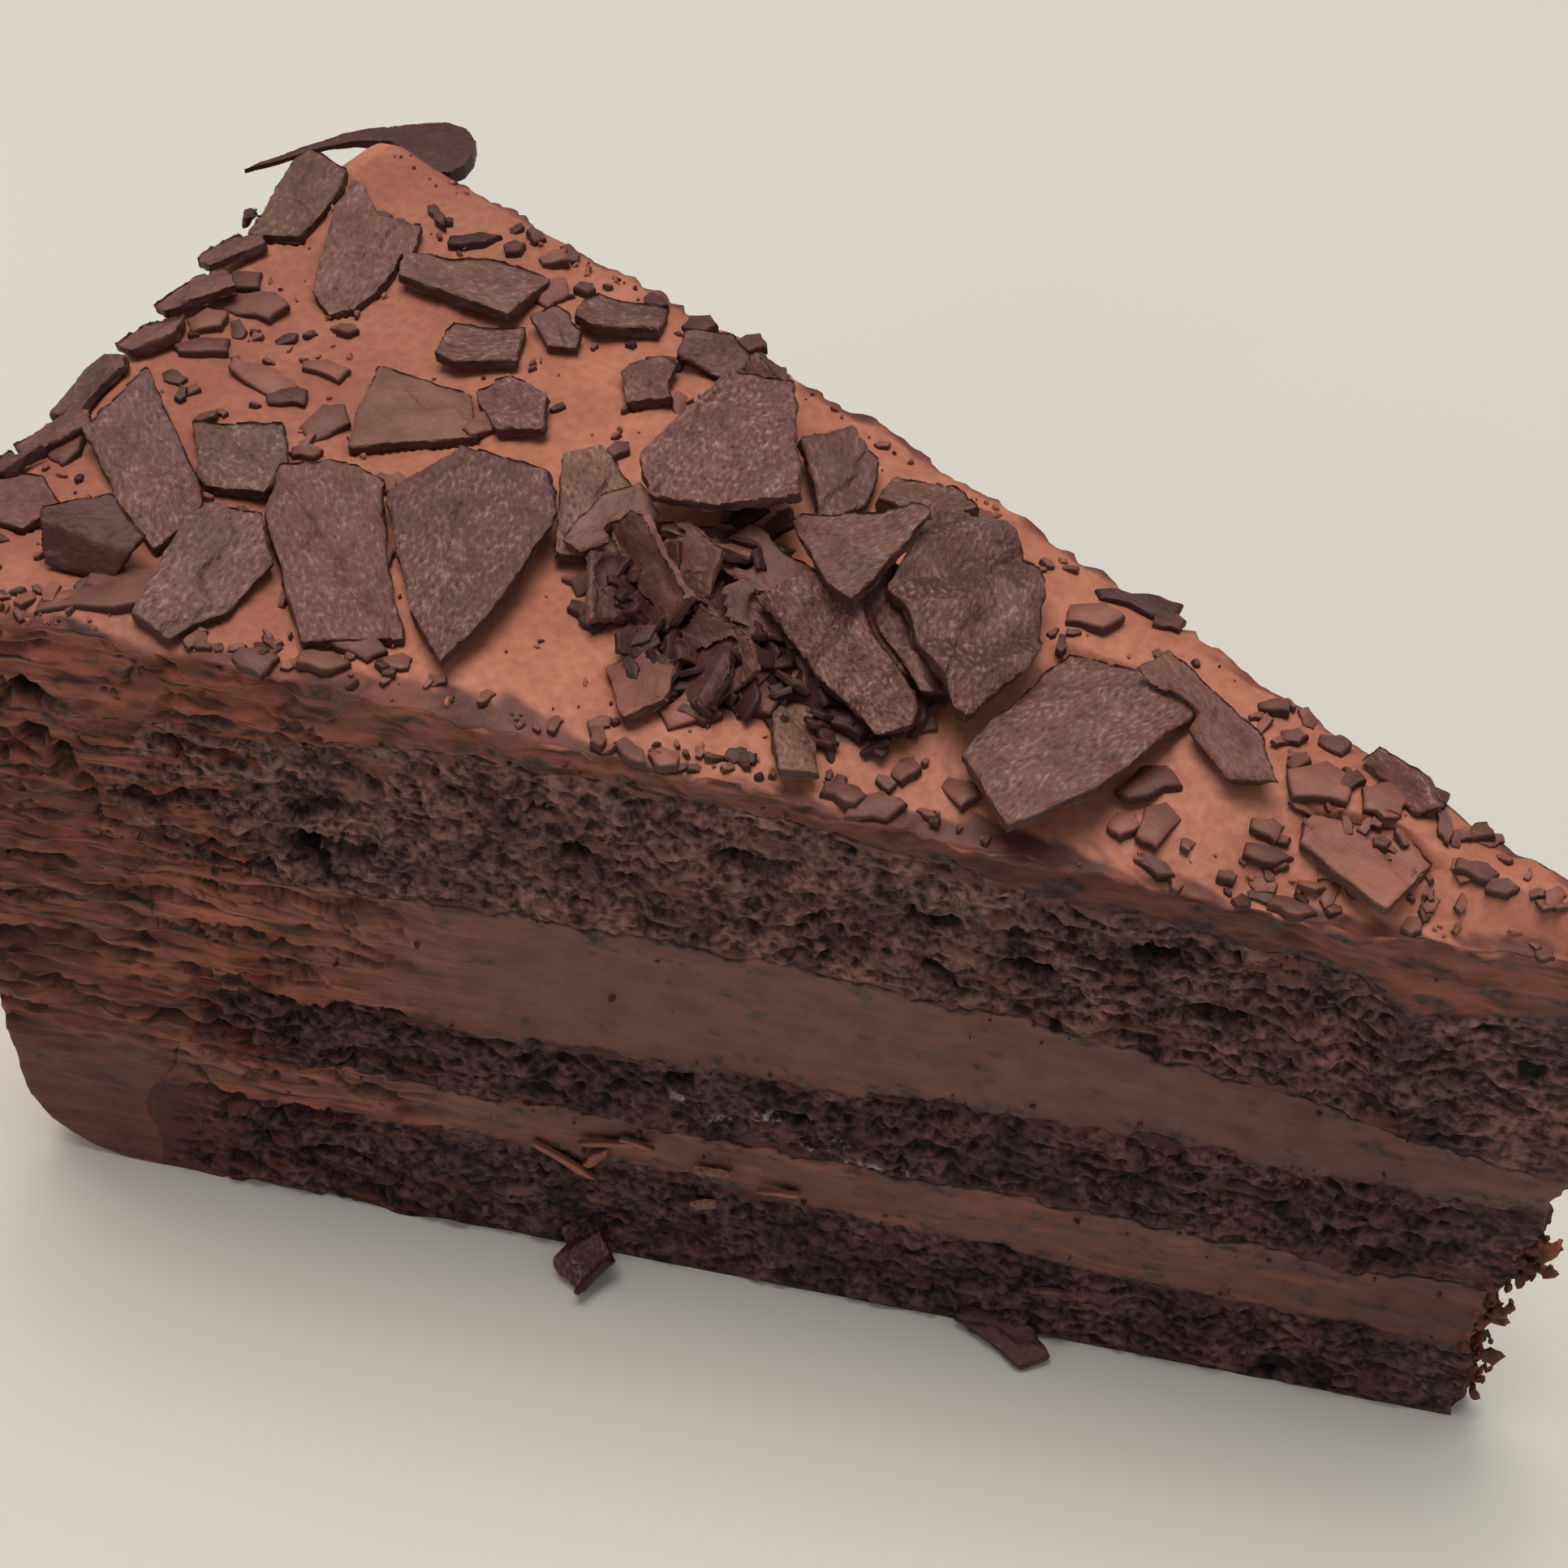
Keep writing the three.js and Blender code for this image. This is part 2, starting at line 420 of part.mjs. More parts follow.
// Small flakes fused to the coat, each leaning a little its own way.
function fuseFlakes(coat) {
  return flakes.reduce((solid, [radius, angle, length, width, heading], n) => {
    const roll = flakeTilt.roll * Math.sin(flakeTilt.rollStep * n);
    const pitch = flakeTilt.pitch * Math.sin(flakeTilt.pitchStep * n);
    const ground = coatTop(radius, degToRad(angle)) - rimDrop(radius, degToRad(angle));
    const flake = setDown(new THREE.Object3D(), [radius, angle, heading, flakeLift, roll, pitch], ground);
    const flat = plate(flakeKinds[n % flakeKinds.length], length, width, flakeThickness);
    return solid.add(toSolid(flat.applyMatrix4(flake.matrix)));
  }, coat);
}

const slice = new THREE.Group();

function addBlock(name, geometry, colour, roughness) {
  const mesh = new THREE.Mesh(geometry, chocolate(colour, roughness));
  mesh.name = name;
  slice.add(mesh);
  return mesh;
}

const crumb = [spongeSteps, crumbRelief, colours.sponge, 0.95];
const filling = [creamSteps, creamRelief, colours.cream, 0.55];

function addLayer(name, below, above, [steps, relief, colour, roughness]) {
  return addBlock(name, spongeOrCream(steps, below, above, relief), colour, roughness);
}

const bottomSponge = addLayer("sponge_bottom", null, bottomSpongeTop, crumb);
addLayer("cream_lower", bottomSpongeTop, middleSpongeBase, filling);
addLayer("sponge_middle", middleSpongeBase, middleSpongeTop, crumb);
addLayer("cream_upper", middleSpongeTop, topSpongeBase, filling);
addLayer("sponge_top", topSpongeBase, topSpongeTop, crumb);

// Shards and heap blades, each cut clear of those placed before it
const placed = [];
function place(name, shard, ground, colour) {
  const { mesh, room } = shardMesh(name, shard, ground, colour);
  cutOut(mesh, placed);
  placed.push(room);
  slice.add(mesh);
  return room;
}
function placeOnCoat(pieces, colour) {
  for (const [name, piece] of Object.entries(pieces)) {
    place(name, piece, coatTop(piece[3], degToRad(piece[4])), colour);
  }
}
placeOnCoat(shards, colours.shard);
placeOnCoat(heapBlades, colours.darkShard);

// The coat is pressed in where the shards lie
const pressedCoat = placed.reduce((solid, room) => solid.subtract(room), fuseFlakes(toSolid(coatBlock())));
addBlock("coat", toGeometry(largestBody(pressedCoat)), colours.coat, 0.6);

const footRooms = Object.entries(footShards).map(([name, shard]) => place(name, shard, 0, colours.darkShard));
cutOut(bottomSponge, footRooms);

export default slice;
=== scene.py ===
import itertools
import math

import bmesh
import bpy
import numpy as np
from mathutils import Euler, Matrix, Vector
from mathutils.bvhtree import BVHTree


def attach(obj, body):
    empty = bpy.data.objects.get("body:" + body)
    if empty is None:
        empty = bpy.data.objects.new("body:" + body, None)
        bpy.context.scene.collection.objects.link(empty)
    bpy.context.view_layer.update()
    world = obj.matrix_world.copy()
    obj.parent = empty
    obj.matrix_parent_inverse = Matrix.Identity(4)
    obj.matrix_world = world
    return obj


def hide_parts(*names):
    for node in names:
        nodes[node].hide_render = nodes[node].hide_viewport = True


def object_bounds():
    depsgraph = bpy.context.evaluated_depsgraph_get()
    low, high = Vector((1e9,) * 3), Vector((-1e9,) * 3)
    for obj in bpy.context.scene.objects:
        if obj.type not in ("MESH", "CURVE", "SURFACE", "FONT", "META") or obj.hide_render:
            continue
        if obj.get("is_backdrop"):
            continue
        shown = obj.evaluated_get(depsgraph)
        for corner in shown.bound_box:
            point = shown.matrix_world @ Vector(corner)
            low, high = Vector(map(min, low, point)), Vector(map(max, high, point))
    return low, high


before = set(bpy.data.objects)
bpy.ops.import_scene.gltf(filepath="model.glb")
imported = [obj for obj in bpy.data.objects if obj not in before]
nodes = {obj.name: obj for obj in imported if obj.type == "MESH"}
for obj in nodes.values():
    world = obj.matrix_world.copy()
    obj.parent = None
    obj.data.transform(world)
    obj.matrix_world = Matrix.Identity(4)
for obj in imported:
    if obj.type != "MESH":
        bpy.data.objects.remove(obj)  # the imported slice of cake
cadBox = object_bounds()
mm = 0.001

# The slice in millimetres, as the part has it: cake's centre at the tip, base at height 0.
cake = {
    "radius": 125.0,
    "halfAngle": math.radians(15),
    "tipX": 62.5,
    "rimEdge": 5.0, "cornerEdge": 3.0,
    "footEdge": 9.0,
    "bulge": 0.8,
    "stations": (0, 37, 74, 111),
    "coatTopFront": (60, 60.8, 64.6, 67.2),
    "coatTopBack": (62.6, 63.8, 65.2, 64),
    "wallStations": (0, 12, 24, 36, 48, 60),
    "wallInside": (114.5, 113, 107.5, 109.5, 112, 113),
    "tipHigh": 3.0,
    "tipLow": 5.0,
    "tornTip": (13.2, 28.6),  # heights over which the torn foot of the tip turns whole
    "roughFrom": (2, 14),  # distances from the tip over which the cut faces turn rough
    "flush": 0.9,  # layers are level with their neighbours up to this distance from where they meet
}
layers = ("sponge_bottom", "cream_lower", "sponge_middle", "cream_upper", "sponge_top")


# Small maths on arrays. The last number in each call of a noise is its seed.

def lerp(a, b, t):
    return a + (b - a) * t


def ease(x, low, high):
    t = np.clip((x - low) / (high - low), 0, 1)
    return t * t * (3 - 2 * t)


def through(stations, values, place):  # smooth value through equal stations
    values = np.asarray(values, float)
    last = len(values) - 1
    step = (place - stations[0]) / (stations[1] - stations[0])
    i = np.clip(np.floor(step).astype(int), 0, last - 1)
    t = np.clip(step - i, 0, 1)
    a, b, c, d = (values[np.clip(i + n, 0, last)] for n in (-1, 0, 1, 2))
    return b + t / 2 * (c - a + t * (2 * a - 5 * b + 4 * c - d + t * (3 * (b - c) + d - a)))


def polar(radius, angle, height):
    radius, angle, height = np.broadcast_arrays(radius, angle, height)
    x = cake["tipX"] - radius * np.cos(angle)
    return np.stack([x, radius * np.sin(angle), height], -1).astype(float)


def scramble(cells, seed):  # a repeatable 32-bit number for each lattice cell
    mask = 0xffffffff
    h = cells[..., 0] * 374761393 + cells[..., 1] * 668265263 + cells[..., 2] * 1440662683
    h = (h + seed * 974711) & mask
    h = ((h ^ (h >> 15)) * 2246822519) & mask
    h = ((h ^ (h >> 13)) * 3266489917) & mask
    return h ^ (h >> 16)


def thirds(h):  # three numbers from 0 to 1 out of one scrambled number
    return np.stack([h & 1023, (h >> 10) & 1023, (h >> 20) & 1023], -1) / 1023


def lumps(points, size, seed):  # smooth noise about 0, in lumps of this size
    place = points / size
    low = np.floor(place).astype(np.int64)
    part = place - low
    soft = part ** 3 * (part * (part * 6 - 15) + 10)
    total = np.zeros(len(points))
    for corner in itertools.product((0, 1), repeat=3):
        slope = thirds(scramble(low + corner, seed)) * 2 - 1
        weight = np.prod(np.where(corner, soft, 1 - soft), axis=1)
        total += weight * np.sum(slope * (part - corner), axis=1)
    return total * 1.6


def layered(points, scales, seed):  # lumps of several sizes, each with its depth
    return sum(depth * lumps(points, size, seed + n) for n, (size, depth) in enumerate(scales))


def crags(points, size, octaves, seed):  # lumps on lumps, each half the size
    return sum(lumps(points, size / 2 ** n, seed + n) / 2 ** n for n in range(octaves))


def warped(points, size, depth, seed):  # points pushed about, so that round forms turn ragged
    return points + depth * np.stack([lumps(points, size, seed + n) for n in range(3)], -1)


def pores(points, spacing, sizes, share, seed):  # how deep in a round pore, 0 to 1
    place = points / spacing
    low = np.floor(place).astype(np.int64)
    deepest = np.zeros(len(points))
    for corner in itertools.product((-1, 0, 1), repeat=3):
        cell = low + corner
        size, luck, _ = thirds(scramble(cell, seed + 1)).T
        away = np.sum((place - cell - thirds(scramble(cell, seed))) ** 2, axis=1)
        depth = np.sqrt(np.clip(1 - away / lerp(*sizes, size) ** 2, 0, 1))
        deepest = np.maximum(deepest, np.where(luck < share, depth, 0))
    return deepest


# Mesh building

def blockSkin(steps, underStep=1):
    # closed skin of a block: u outwards from the tip, v from front to back, w upwards or outwards
    uSteps, vSteps, wSteps = steps
    u, v, w = (np.arange(n + 1) for n in steps)

    def number(i, j, k):
        return (i * (vSteps + 1) + j) * (wSteps + 1) + k

    def patch(first, second, corner):
        a, b = np.meshgrid(first, second, indexing="ij")
        ids = number(*corner(a, b)) + 0 * a
        return np.stack([ids[:-1, :-1], ids[1:, :-1], ids[1:, 1:], ids[:-1, 1:]], -1).reshape(-1, 4)

    under = v[::underStep]
    quads = np.concatenate([
        patch(v, u, lambda a, b: (b, a, wSteps)),
        patch(u if underStep == 1 else u[1:-1], under, lambda a, b: (a, b, 0)),
        patch(w, u, lambda a, b: (b, 0, a)),
        patch(u, w, lambda a, b: (a, vSteps, b)),
        patch(v, w, lambda a, b: (0, a, b)),
        patch(w, v, lambda a, b: (uSteps, b, a)),
    ])
    used = np.unique(quads)
    faces = np.searchsorted(used, quads).tolist()
    if underStep > 1:  # the coarse underside is joined to the fine end rows
        for j0, j1 in zip(under[:-1], under[1:]):
            fine = np.arange(j0, j1 + 1)
            tipLoop = [number(1, j0, 0), number(1, j1, 0), *number(0, fine[::-1], 0)]
            footLoop = [number(uSteps - 1, j0, 0), *number(uSteps, fine, 0), number(uSteps - 1, j1, 0)]
            faces += [np.searchsorted(used, loop).tolist() for loop in (tipLoop, footLoop)]
    k = used % (wSteps + 1)
    j = used // (wSteps + 1) % (vSteps + 1)
    i = used // ((wSteps + 1) * (vSteps + 1))
    return i, j, k, faces


def addObject(name, data):
    thing = bpy.data.objects.new(name, data)
    bpy.context.scene.collection.objects.link(thing)
    return thing


def makePiece(name, points, faces, material, marks, place=None, replaced=()):
    if place is None:
        points[:, 2] = np.maximum(points[:, 2], 0)  # nothing sinks below the base
    mesh = bpy.data.meshes.new(name)
    mesh.from_pydata((points * mm).tolist(), [], faces)
    for label, values in marks.items():
        layer = mesh.attributes.new(label, "FLOAT", "POINT")
        layer.data.foreach_set("value", np.broadcast_to(values, len(points)).astype(np.float32))
    mesh.shade_smooth()
    mesh.materials.append(material)
    piece = addObject(name, mesh)
    if place is not None:
        piece.matrix_world = place
    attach(piece, "root")
    if replaced:
        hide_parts(*replaced)
    return piece


def solidTree(names):  # one search tree over several solids of the frame
    points, faces = [], []
    for name in names:
        start = len(points)
        points += [v.co for v in nodes[name].data.vertices]
        faces += [[start + n for n in p.vertices] for p in nodes[name].data.polygons]
    return BVHTree.FromPolygons(points, faces)


# Shader building

def addNode(tree, kind, inputs=None, **settings):
    node = tree.nodes.new(kind)
    for key, value in settings.items():
        setattr(node, key, value)
    for key, value in (inputs or {}).items():
        if isinstance(value, bpy.types.NodeSocket):
            tree.links.new(value, node.inputs[key])
        else:
            node.inputs[key].default_value = value
    return node


def mixed(tree, factor, first, second, blend="MIX"):
    return addNode(tree, "ShaderNodeMix", {"Factor": factor, 6: first, 7: second},
                   data_type="RGBA", blend_type=blend).outputs[2]


def tinted(tree, first, second):
    return mixed(tree, 1.0, first, second, "MULTIPLY")


def ranged(tree, value, low, high, lowTo=0.0, highTo=1.0):
    return addNode(tree, "ShaderNodeMapRange", {
        "Value": value, "From Min": low, "From Max": high, "To Min": lowTo, "To Max": highTo}).outputs[0]


def times(tree, first, second):
    return addNode(tree, "ShaderNodeMath", {0: first, 1: second}, operation="MULTIPLY").outputs[0]


def bumped(tree, height, depth, strength, under=None):
    inputs = {"Height": height, "Distance": depth * mm, "Strength": strength}
    if under:
        inputs["Normal"] = under
    return addNode(tree, "ShaderNodeBump", inputs).outputs[0]


def mark(tree, label):  # a value stored on the mesh
    return addNode(tree, "ShaderNodeAttribute", attribute_name=label).outputs["Fac"]


def newGroup(name, inputs, outputs):
    group = bpy.data.node_groups.new(name, "ShaderNodeTree")
    for label, value in inputs.items():
        kind = "NodeSocketColor" if isinstance(value, tuple) else "NodeSocketFloat"
        group.interface.new_socket(label, in_out="INPUT", socket_type=kind).default_value = value
    for label in outputs:
        kind = "NodeSocketColor" if label == "Color" else "NodeSocketFloat"
        group.interface.new_socket(label, in_out="OUTPUT", socket_type=kind)
    return group, group.nodes.new("NodeGroupInput").outputs, group.nodes.new("NodeGroupOutput").inputs


def stretchedNoise(tree, alongSize, upSize, detail, acrossSize=None):
    # noise whose lumps have these sizes in millimetres along x, y and z of the piece
    coords = addNode(tree, "ShaderNodeTexCoord").outputs["Object"]
    sizes = addNode(tree, "ShaderNodeCombineXYZ",
                    {"X": alongSize, "Y": acrossSize or alongSize, "Z": upSize}).outputs[0]
    inMm = addNode(tree, "ShaderNodeVectorMath", {0: coords, "Scale": 1 / mm}, operation="SCALE").outputs[0]
    place = addNode(tree, "ShaderNodeVectorMath", {0: inMm, 1: sizes}, operation="DIVIDE").outputs[0]
    values = {"Vector": place, "Scale": 1.0, "Detail": detail}
    return addNode(tree, "ShaderNodeTexNoise", values).outputs["Fac"]


def grainGroup():  # fine even roughness
    group, given, put = newGroup("fineGrain", {"Size": 0.4}, ("Height",))
    group.links.new(stretchedNoise(group, given["Size"], given["Size"], 4.0), put["Height"])
    return group


def mottleGroup():  # two tones in soft patches
    inputs = {"Low Tone": (0, 0, 0, 1), "High Tone": (1, 1, 1, 1), "Size": 2.0, "From": 0.35, "To": 0.65}
    group, given, put = newGroup("twoTone", inputs, ("Color", "Mask"))
    fac = stretchedNoise(group, given["Size"], given["Size"], 3.0)
    mask = ranged(group, fac, given["From"], given["To"])
    group.links.new(mixed(group, mask, given["Low Tone"], given["High Tone"]), put["Color"])
    group.links.new(mask, put["Mask"])
    return group


# Sizes along and up in millimetres, and the span of the noise that shows
creamDrag = {
    "broad": (11.0, 4.0), "broadSpan": (0.38, 0.6),
    "patch": (5.0, 1.6), "patchSpan": (0.36, 0.64), "darkPatch": (0.62, 0.57, 0.6, 1),
    "lightPatch": (1.46, 1.4, 1.39, 1),
    "thread": (6.0, 0.6), "threadSpan": (0.5, 0.66),
    "plainCut": 0.2,  # how far patches and threads show on a smooth cut
}
# the hollow span sets where painted shade between grains shows
grainClumps = {"size": (2.6, 1.6), "span": (0.36, 0.62), "least": 0.25, "hollow": (0.44, 0.32)}


def dragGroup():  # cream drawn along a cut by the knife
    inputs = {"Plain": (1, 1, 1, 1), "Warm": (1, 1, 1, 1), "Streak": (0, 0, 0, 1), "Torn": 0.0}
    group, given, put = newGroup("draggedCream", inputs, ("Color", "Height"))
    broad = ranged(group, stretchedNoise(group, *creamDrag["broad"], 3.0), *creamDrag["broadSpan"])
    base = mixed(group, broad, given["Plain"], given["Warm"])
    patch = ranged(group, stretchedNoise(group, *creamDrag["patch"], 3.0), *creamDrag["patchSpan"], -1.0)
    shown = ranged(group, given["Torn"], 0.0, 1.0, creamDrag["plainCut"])
    patchTone = mixed(group, ranged(group, times(group, patch, shown), -1.0, 1.0),
                      creamDrag["darkPatch"], creamDrag["lightPatch"])
    threads = stretchedNoise(group, *creamDrag["thread"], 4.0)
    drawn = times(group, ranged(group, threads, *creamDrag["threadSpan"]), shown)
    group.links.new(mixed(group, drawn, tinted(group, base, patchTone), given["Streak"]), put["Color"])
    group.links.new(threads, put["Height"])
    return group


def speckleGroup():  # pale frost grains drawn out along the piece, partly painted highlights, and painted shade in the hollows between them
    group, given, put = newGroup("paleSpeckle", {"Length": 0.9, "Width": 0.4, "From": 0.5, "To": 0.62},
                                 ("Height", "Mask", "GrainShade"))
    fine = stretchedNoise(group, given["Length"], given["Width"], 4.0, given["Width"])
    clump = stretchedNoise(group, *grainClumps["size"], 2.0)
    clump = ranged(group, clump, *grainClumps["span"], grainClumps["least"])
    group.links.new(fine, put["Height"])
    group.links.new(times(group, ranged(group, fine, given["From"], given["To"]), clump), put["Mask"])
    group.links.new(ranged(group, fine, *grainClumps["hollow"]), put["GrainShade"])
    return group


groups = {"grain": grainGroup(), "mottle": mottleGroup(), "drag": dragGroup(), "speckle": speckleGroup()}


def useGroup(tree, kind, values):
    return addNode(tree, "ShaderNodeGroup", values, node_tree=groups[kind]).outputs


def twoTone(tree, low, high, size, span=(0.35, 0.65)):
    values = {"Low Tone": low, "High Tone": high, "Size": size, "From": span[0], "To": span[1]}
    return useGroup(tree, "mottle", values)


def grained(tree, size, depth, strength, under=None):
    return bumped(tree, useGroup(tree, "grain", {"Size": size})["Height"], depth, strength, under)


def newMaterial(name, specular=0.3):
    material = bpy.data.materials.new(name)
    material.use_nodes = True
    shader = material.node_tree.nodes["Principled BSDF"].inputs
    shader["Specular IOR Level"].default_value = specular
    return material, material.node_tree, shader


def dressed(material, colour, roughness, normal):  # the material with its looks joined to its shader
    tree = material.node_tree
    shader = tree.nodes["Principled BSDF"].inputs
    for label, value in (("Base Color", colour), ("Roughness", roughness), ("Normal", normal)):
        tree.links.new(value, shader[label])
    return material


def tone(red, green, blue):  # a display colour from 0 to 255 as linear light
    return tuple(((c / 255 + 0.055) / 1.055) ** 2.4 for c in (red, green, blue)) + (1.0,)


# Materials: tones, and pairs that darken and lighten a tone in patches

creamTones = {"plain": tone(118, 81, 75), "warm": tone(120, 77, 66), "streak": tone(86, 54, 48),
              # the crumb tone here is the near-black painted shade of cracks and pits
              "crumb": tone(30, 18, 19), "low": (0.51, 0.47, 0.54, 1),
              "clouds": ((0.9, 0.89, 0.89, 1), (1.06, 1.05, 1.05, 1))}
coatTones = {"deep": tone(175, 108, 83), "plain": tone(192, 123, 96), "cut": tone(146, 87, 71),
             "cutWarm": tone(157, 88, 66), "streak": tone(58, 32, 28),
             "freckles": ((0.86, 0.84, 0.83, 1), (1.06, 1.05, 1.04, 1))}
# the near-black pit tone is the painted shade inside pores
spongeTones = {"dark": tone(58, 42, 39), "light": tone(158, 121, 112), "poreShade": tone(14, 8, 10),
               # the wet tone is the colour of painted glints
               "stuck": tone(108, 80, 73), "scrap": tone(160, 122, 108), "wetGlint": tone(232, 220, 208),
               "patches": ((0.5, 0.49, 0.52, 1), (1.22, 1.16, 1.15, 1)),
               "hues": ((1.1, 0.92, 0.94, 1), (0.97, 1.0, 1.0, 1))}
shardTones = {"dark": tone(70, 40, 39), "light": tone(124, 82, 76), "olive": tone(126, 92, 75),
              # the hollow tone is painted shade between grains, the edge tone painted shade on the sides of
              # pieces
              "speckle": tone(168, 135, 129), "hollow": tone(58, 33, 32), "edge": tone(54, 30, 29),
              "coat": tone(158, 99, 80), "patches": ((0.78, 0.75, 0.76, 1), (1.12, 1.1, 1.09, 1))}
# the light crumb tone stands for painted light shining through the crumbs at the tip
crumbTones = {"dark": tone(62, 44, 40), "light": tone(146, 84, 64), "bit": tone(78, 50, 45),
              "patches": ((0.7, 0.68, 0.66, 1), (1.12, 1.1, 1.1, 1))}


def tornCream(tree):  # filling that takes on the coat's tones where the cut is torn
    torn = mark(tree, "torn")
    pairs = {"Plain": ("plain", "cut"), "Warm": ("warm", "cutWarm"), "Streak": ("streak", "streak")}
    tones = {label: mixed(tree, torn, creamTones[a], coatTones[b]) for label, (a, b) in pairs.items()}
    return useGroup(tree, "drag", {"Torn": torn, **tones})


def lowered(tree, colour):  # darker towards the foot of the slice, near the tip, and with painted shade where the cut laps over the top
    return mixed(tree, mark(tree, "low"), colour, creamTones["low"], "MULTIPLY")


def stained(tree, colour):  # cream with sponge crumbs stuck in it, painted shade in cracks and pits, and painted shadow under the heap on the coat
    crumb = twoTone(tree, spongeTones["dark"], spongeTones["stuck"], 0.7)
    colour = mixed(tree, mark(tree, "crumb"), colour, crumb["Color"])
    return lowered(tree, mixed(tree, mark(tree, "paintedShade"), colour, creamTones["crumb"]))


def creamMaterial():
    material, tree, _ = newMaterial("chocolateCream")
    cream = tornCream(tree)
    clouds = twoTone(tree, *creamTones["clouds"], 2.2)
    colour = stained(tree, tinted(tree, cream["Color"], clouds["Color"]))
    roughness = ranged(tree, clouds["Mask"], 0, 1, 0.62, 0.5)
    level = bumped(tree, cream["Height"], 0.3, ranged(tree, mark(tree, "torn"), 0, 1, 0.12, 0.7))
    return dressed(material, colour, roughness, grained(tree, 0.7, 0.1, 0.4, level))


def coatMaterial():
    material, tree, _ = newMaterial("chocolateCoat")
    broad = twoTone(tree, coatTones["deep"], coatTones["plain"], 7.0)
    freckles = twoTone(tree, *coatTones["freckles"], 0.8)
    cut = tornCream(tree)
    colour = mixed(tree, mark(tree, "cut"), tinted(tree, broad["Color"], freckles["Color"]), cut["Color"])
    roughness = ranged(tree, freckles["Mask"], 0, 1, 0.66, 0.54)
    level = bumped(tree, cut["Height"], 0.3, times(tree, mark(tree, "cut"), mark(tree, "torn")))
    return dressed(material, stained(tree, colour), roughness, grained(tree, 0.8, 0.16, 0.5, level))


def spongeMaterial():
    material, tree, _ = newMaterial("chocolateSponge")
    # pale specks of the crumb: partly its own tone, partly painted highlights on its bumps
    crumb = twoTone(tree, spongeTones["dark"], spongeTones["light"], 0.75, (0.36, 0.66))
    colour = mixed(tree, mark(tree, "scrap"), crumb["Color"], spongeTones["scrap"])
    colour = tinted(tree, colour, twoTone(tree, *spongeTones["patches"], 4.5)["Color"])
    colour = tinted(tree, colour, twoTone(tree, *spongeTones["hues"], 6.5)["Color"])
    # painted glints: near-white specks on the damp spots, which are also less rough
    wetGlint = times(tree, mark(tree, "dampGlints"), ranged(tree, crumb["Mask"], 0.5, 0.85))
    colour = mixed(tree, wetGlint, colour, spongeTones["wetGlint"])
    # painted shade in pores, fibre gaps, cracks and pits
    colour = mixed(tree, mark(tree, "poreShade"), colour, spongeTones["poreShade"])
    colour = mixed(tree, mark(tree, "smear"), colour, tornCream(tree)["Color"])
    roughness = ranged(tree, wetGlint, 0, 0.6, 0.86, 0.2)
    return dressed(material, lowered(tree, colour), roughness, grained(tree, 0.36, 0.3, 0.9))


def shardMaterial():
    material, tree, _ = newMaterial("brokenChocolate")
    lit = mixed(tree, mark(tree, "olive"), shardTones["light"], shardTones["olive"])
    body = mixed(tree, mark(tree, "tone"), shardTones["dark"], lit)
    body = mixed(tree, mark(tree, "warm"), body, shardTones["coat"])
    body = tinted(tree, body, twoTone(tree, *shardTones["patches"], 2.4)["Color"])
    grains = useGroup(tree, "speckle", {"Length": 0.6, "Width": 0.32, "From": 0.52, "To": 0.72})
    edge = mark(tree, "edge")
    frosted = times(tree, mark(tree, "frost"), ranged(tree, edge, 0.3, 0.7, 1.0, 0.0))
    # painted shade in the hollows between the grains
    colour = mixed(tree, times(tree, grains["GrainShade"], times(tree, frosted, 0.7)), body, shardTones["hollow"])
    # pale frost on the grains, partly painted highlights
    colour = mixed(tree, times(tree, grains["Mask"], frosted), colour, shardTones["speckle"])
    # painted shade on the sides of a piece, which face away from the light above
    colour = mixed(tree, ranged(tree, edge, 0.5, 0.95, 0.0, 0.75), colour, shardTones["edge"])
    dull = ranged(tree, grains["Mask"], 0, 1, 0.52, 0.7)
    roughness = mixed(tree, mark(tree, "gloss"), dull, times(tree, dull, 0.45))
    level = bumped(tree, grains["Height"], 0.3, ranged(tree, frosted, 0, 1, 0.25, 0.8))
    return dressed(material, colour, roughness, level)


def crumbMaterial(name, darkTone, lightTone):
    material, tree, _ = newMaterial(name)
    body = mixed(tree, mark(tree, "tone"), darkTone, lightTone)
    patches = twoTone(tree, *crumbTones["patches"], 0.6)
    roughness = ranged(tree, patches["Mask"], 0, 1, 0.85, 0.65)
    return dressed(material, tinted(tree, body, patches["Color"]), roughness, grained(tree, 0.3, 0.15, 0.7))


look = {
    "sponge": spongeMaterial(),
    "cream": creamMaterial(),
    "coat": coatMaterial(),
    "shard": shardMaterial(),
    "crumb": crumbMaterial("spongeCrumbs", crumbTones["dark"], crumbTones["light"]),
    "bit": crumbMaterial("chocolateBits", crumbTones["bit"], coatTones["plain"]),
}
print("materials ready:", ", ".join(look))


# Shape of the slice

faceDirection = math.sin(cake["halfAngle"]), math.cos(cake["halfAngle"])


def outward(across):  # level direction out of the skin: across is -1 at the front, 1 at the back
    lean = np.abs(across)
    out = np.stack([1 - lean + lean * faceDirection[0], across * faceDirection[1], 0 * lean], -1)
    return out / np.linalg.norm(out, axis=1, keepdims=True)


def faceCoords(radius, across, height):  # the cut faces rolled out flat, round the tip
    return np.stack(np.broadcast_arrays(radius * across, 0.0, height), -1)


wallWander = {"broad": (1.0, 6.0), "fine": (0.5, 1.8)}
tipRagged = {"broad": (1.1, 3.3), "fine": (0.6, 1.1)}


def wander(coords, amounts, seed):  # lumps by depth and size
    return sum(depth * lumps(coords, size, seed) for depth, size in amounts.values())


def wallRadius(height, across):
    coords = faceCoords(7, across, height)  # front and back wander apart
    return through(cake["wallStations"], cake["wallInside"], height) + wander(coords, wallWander, 3)


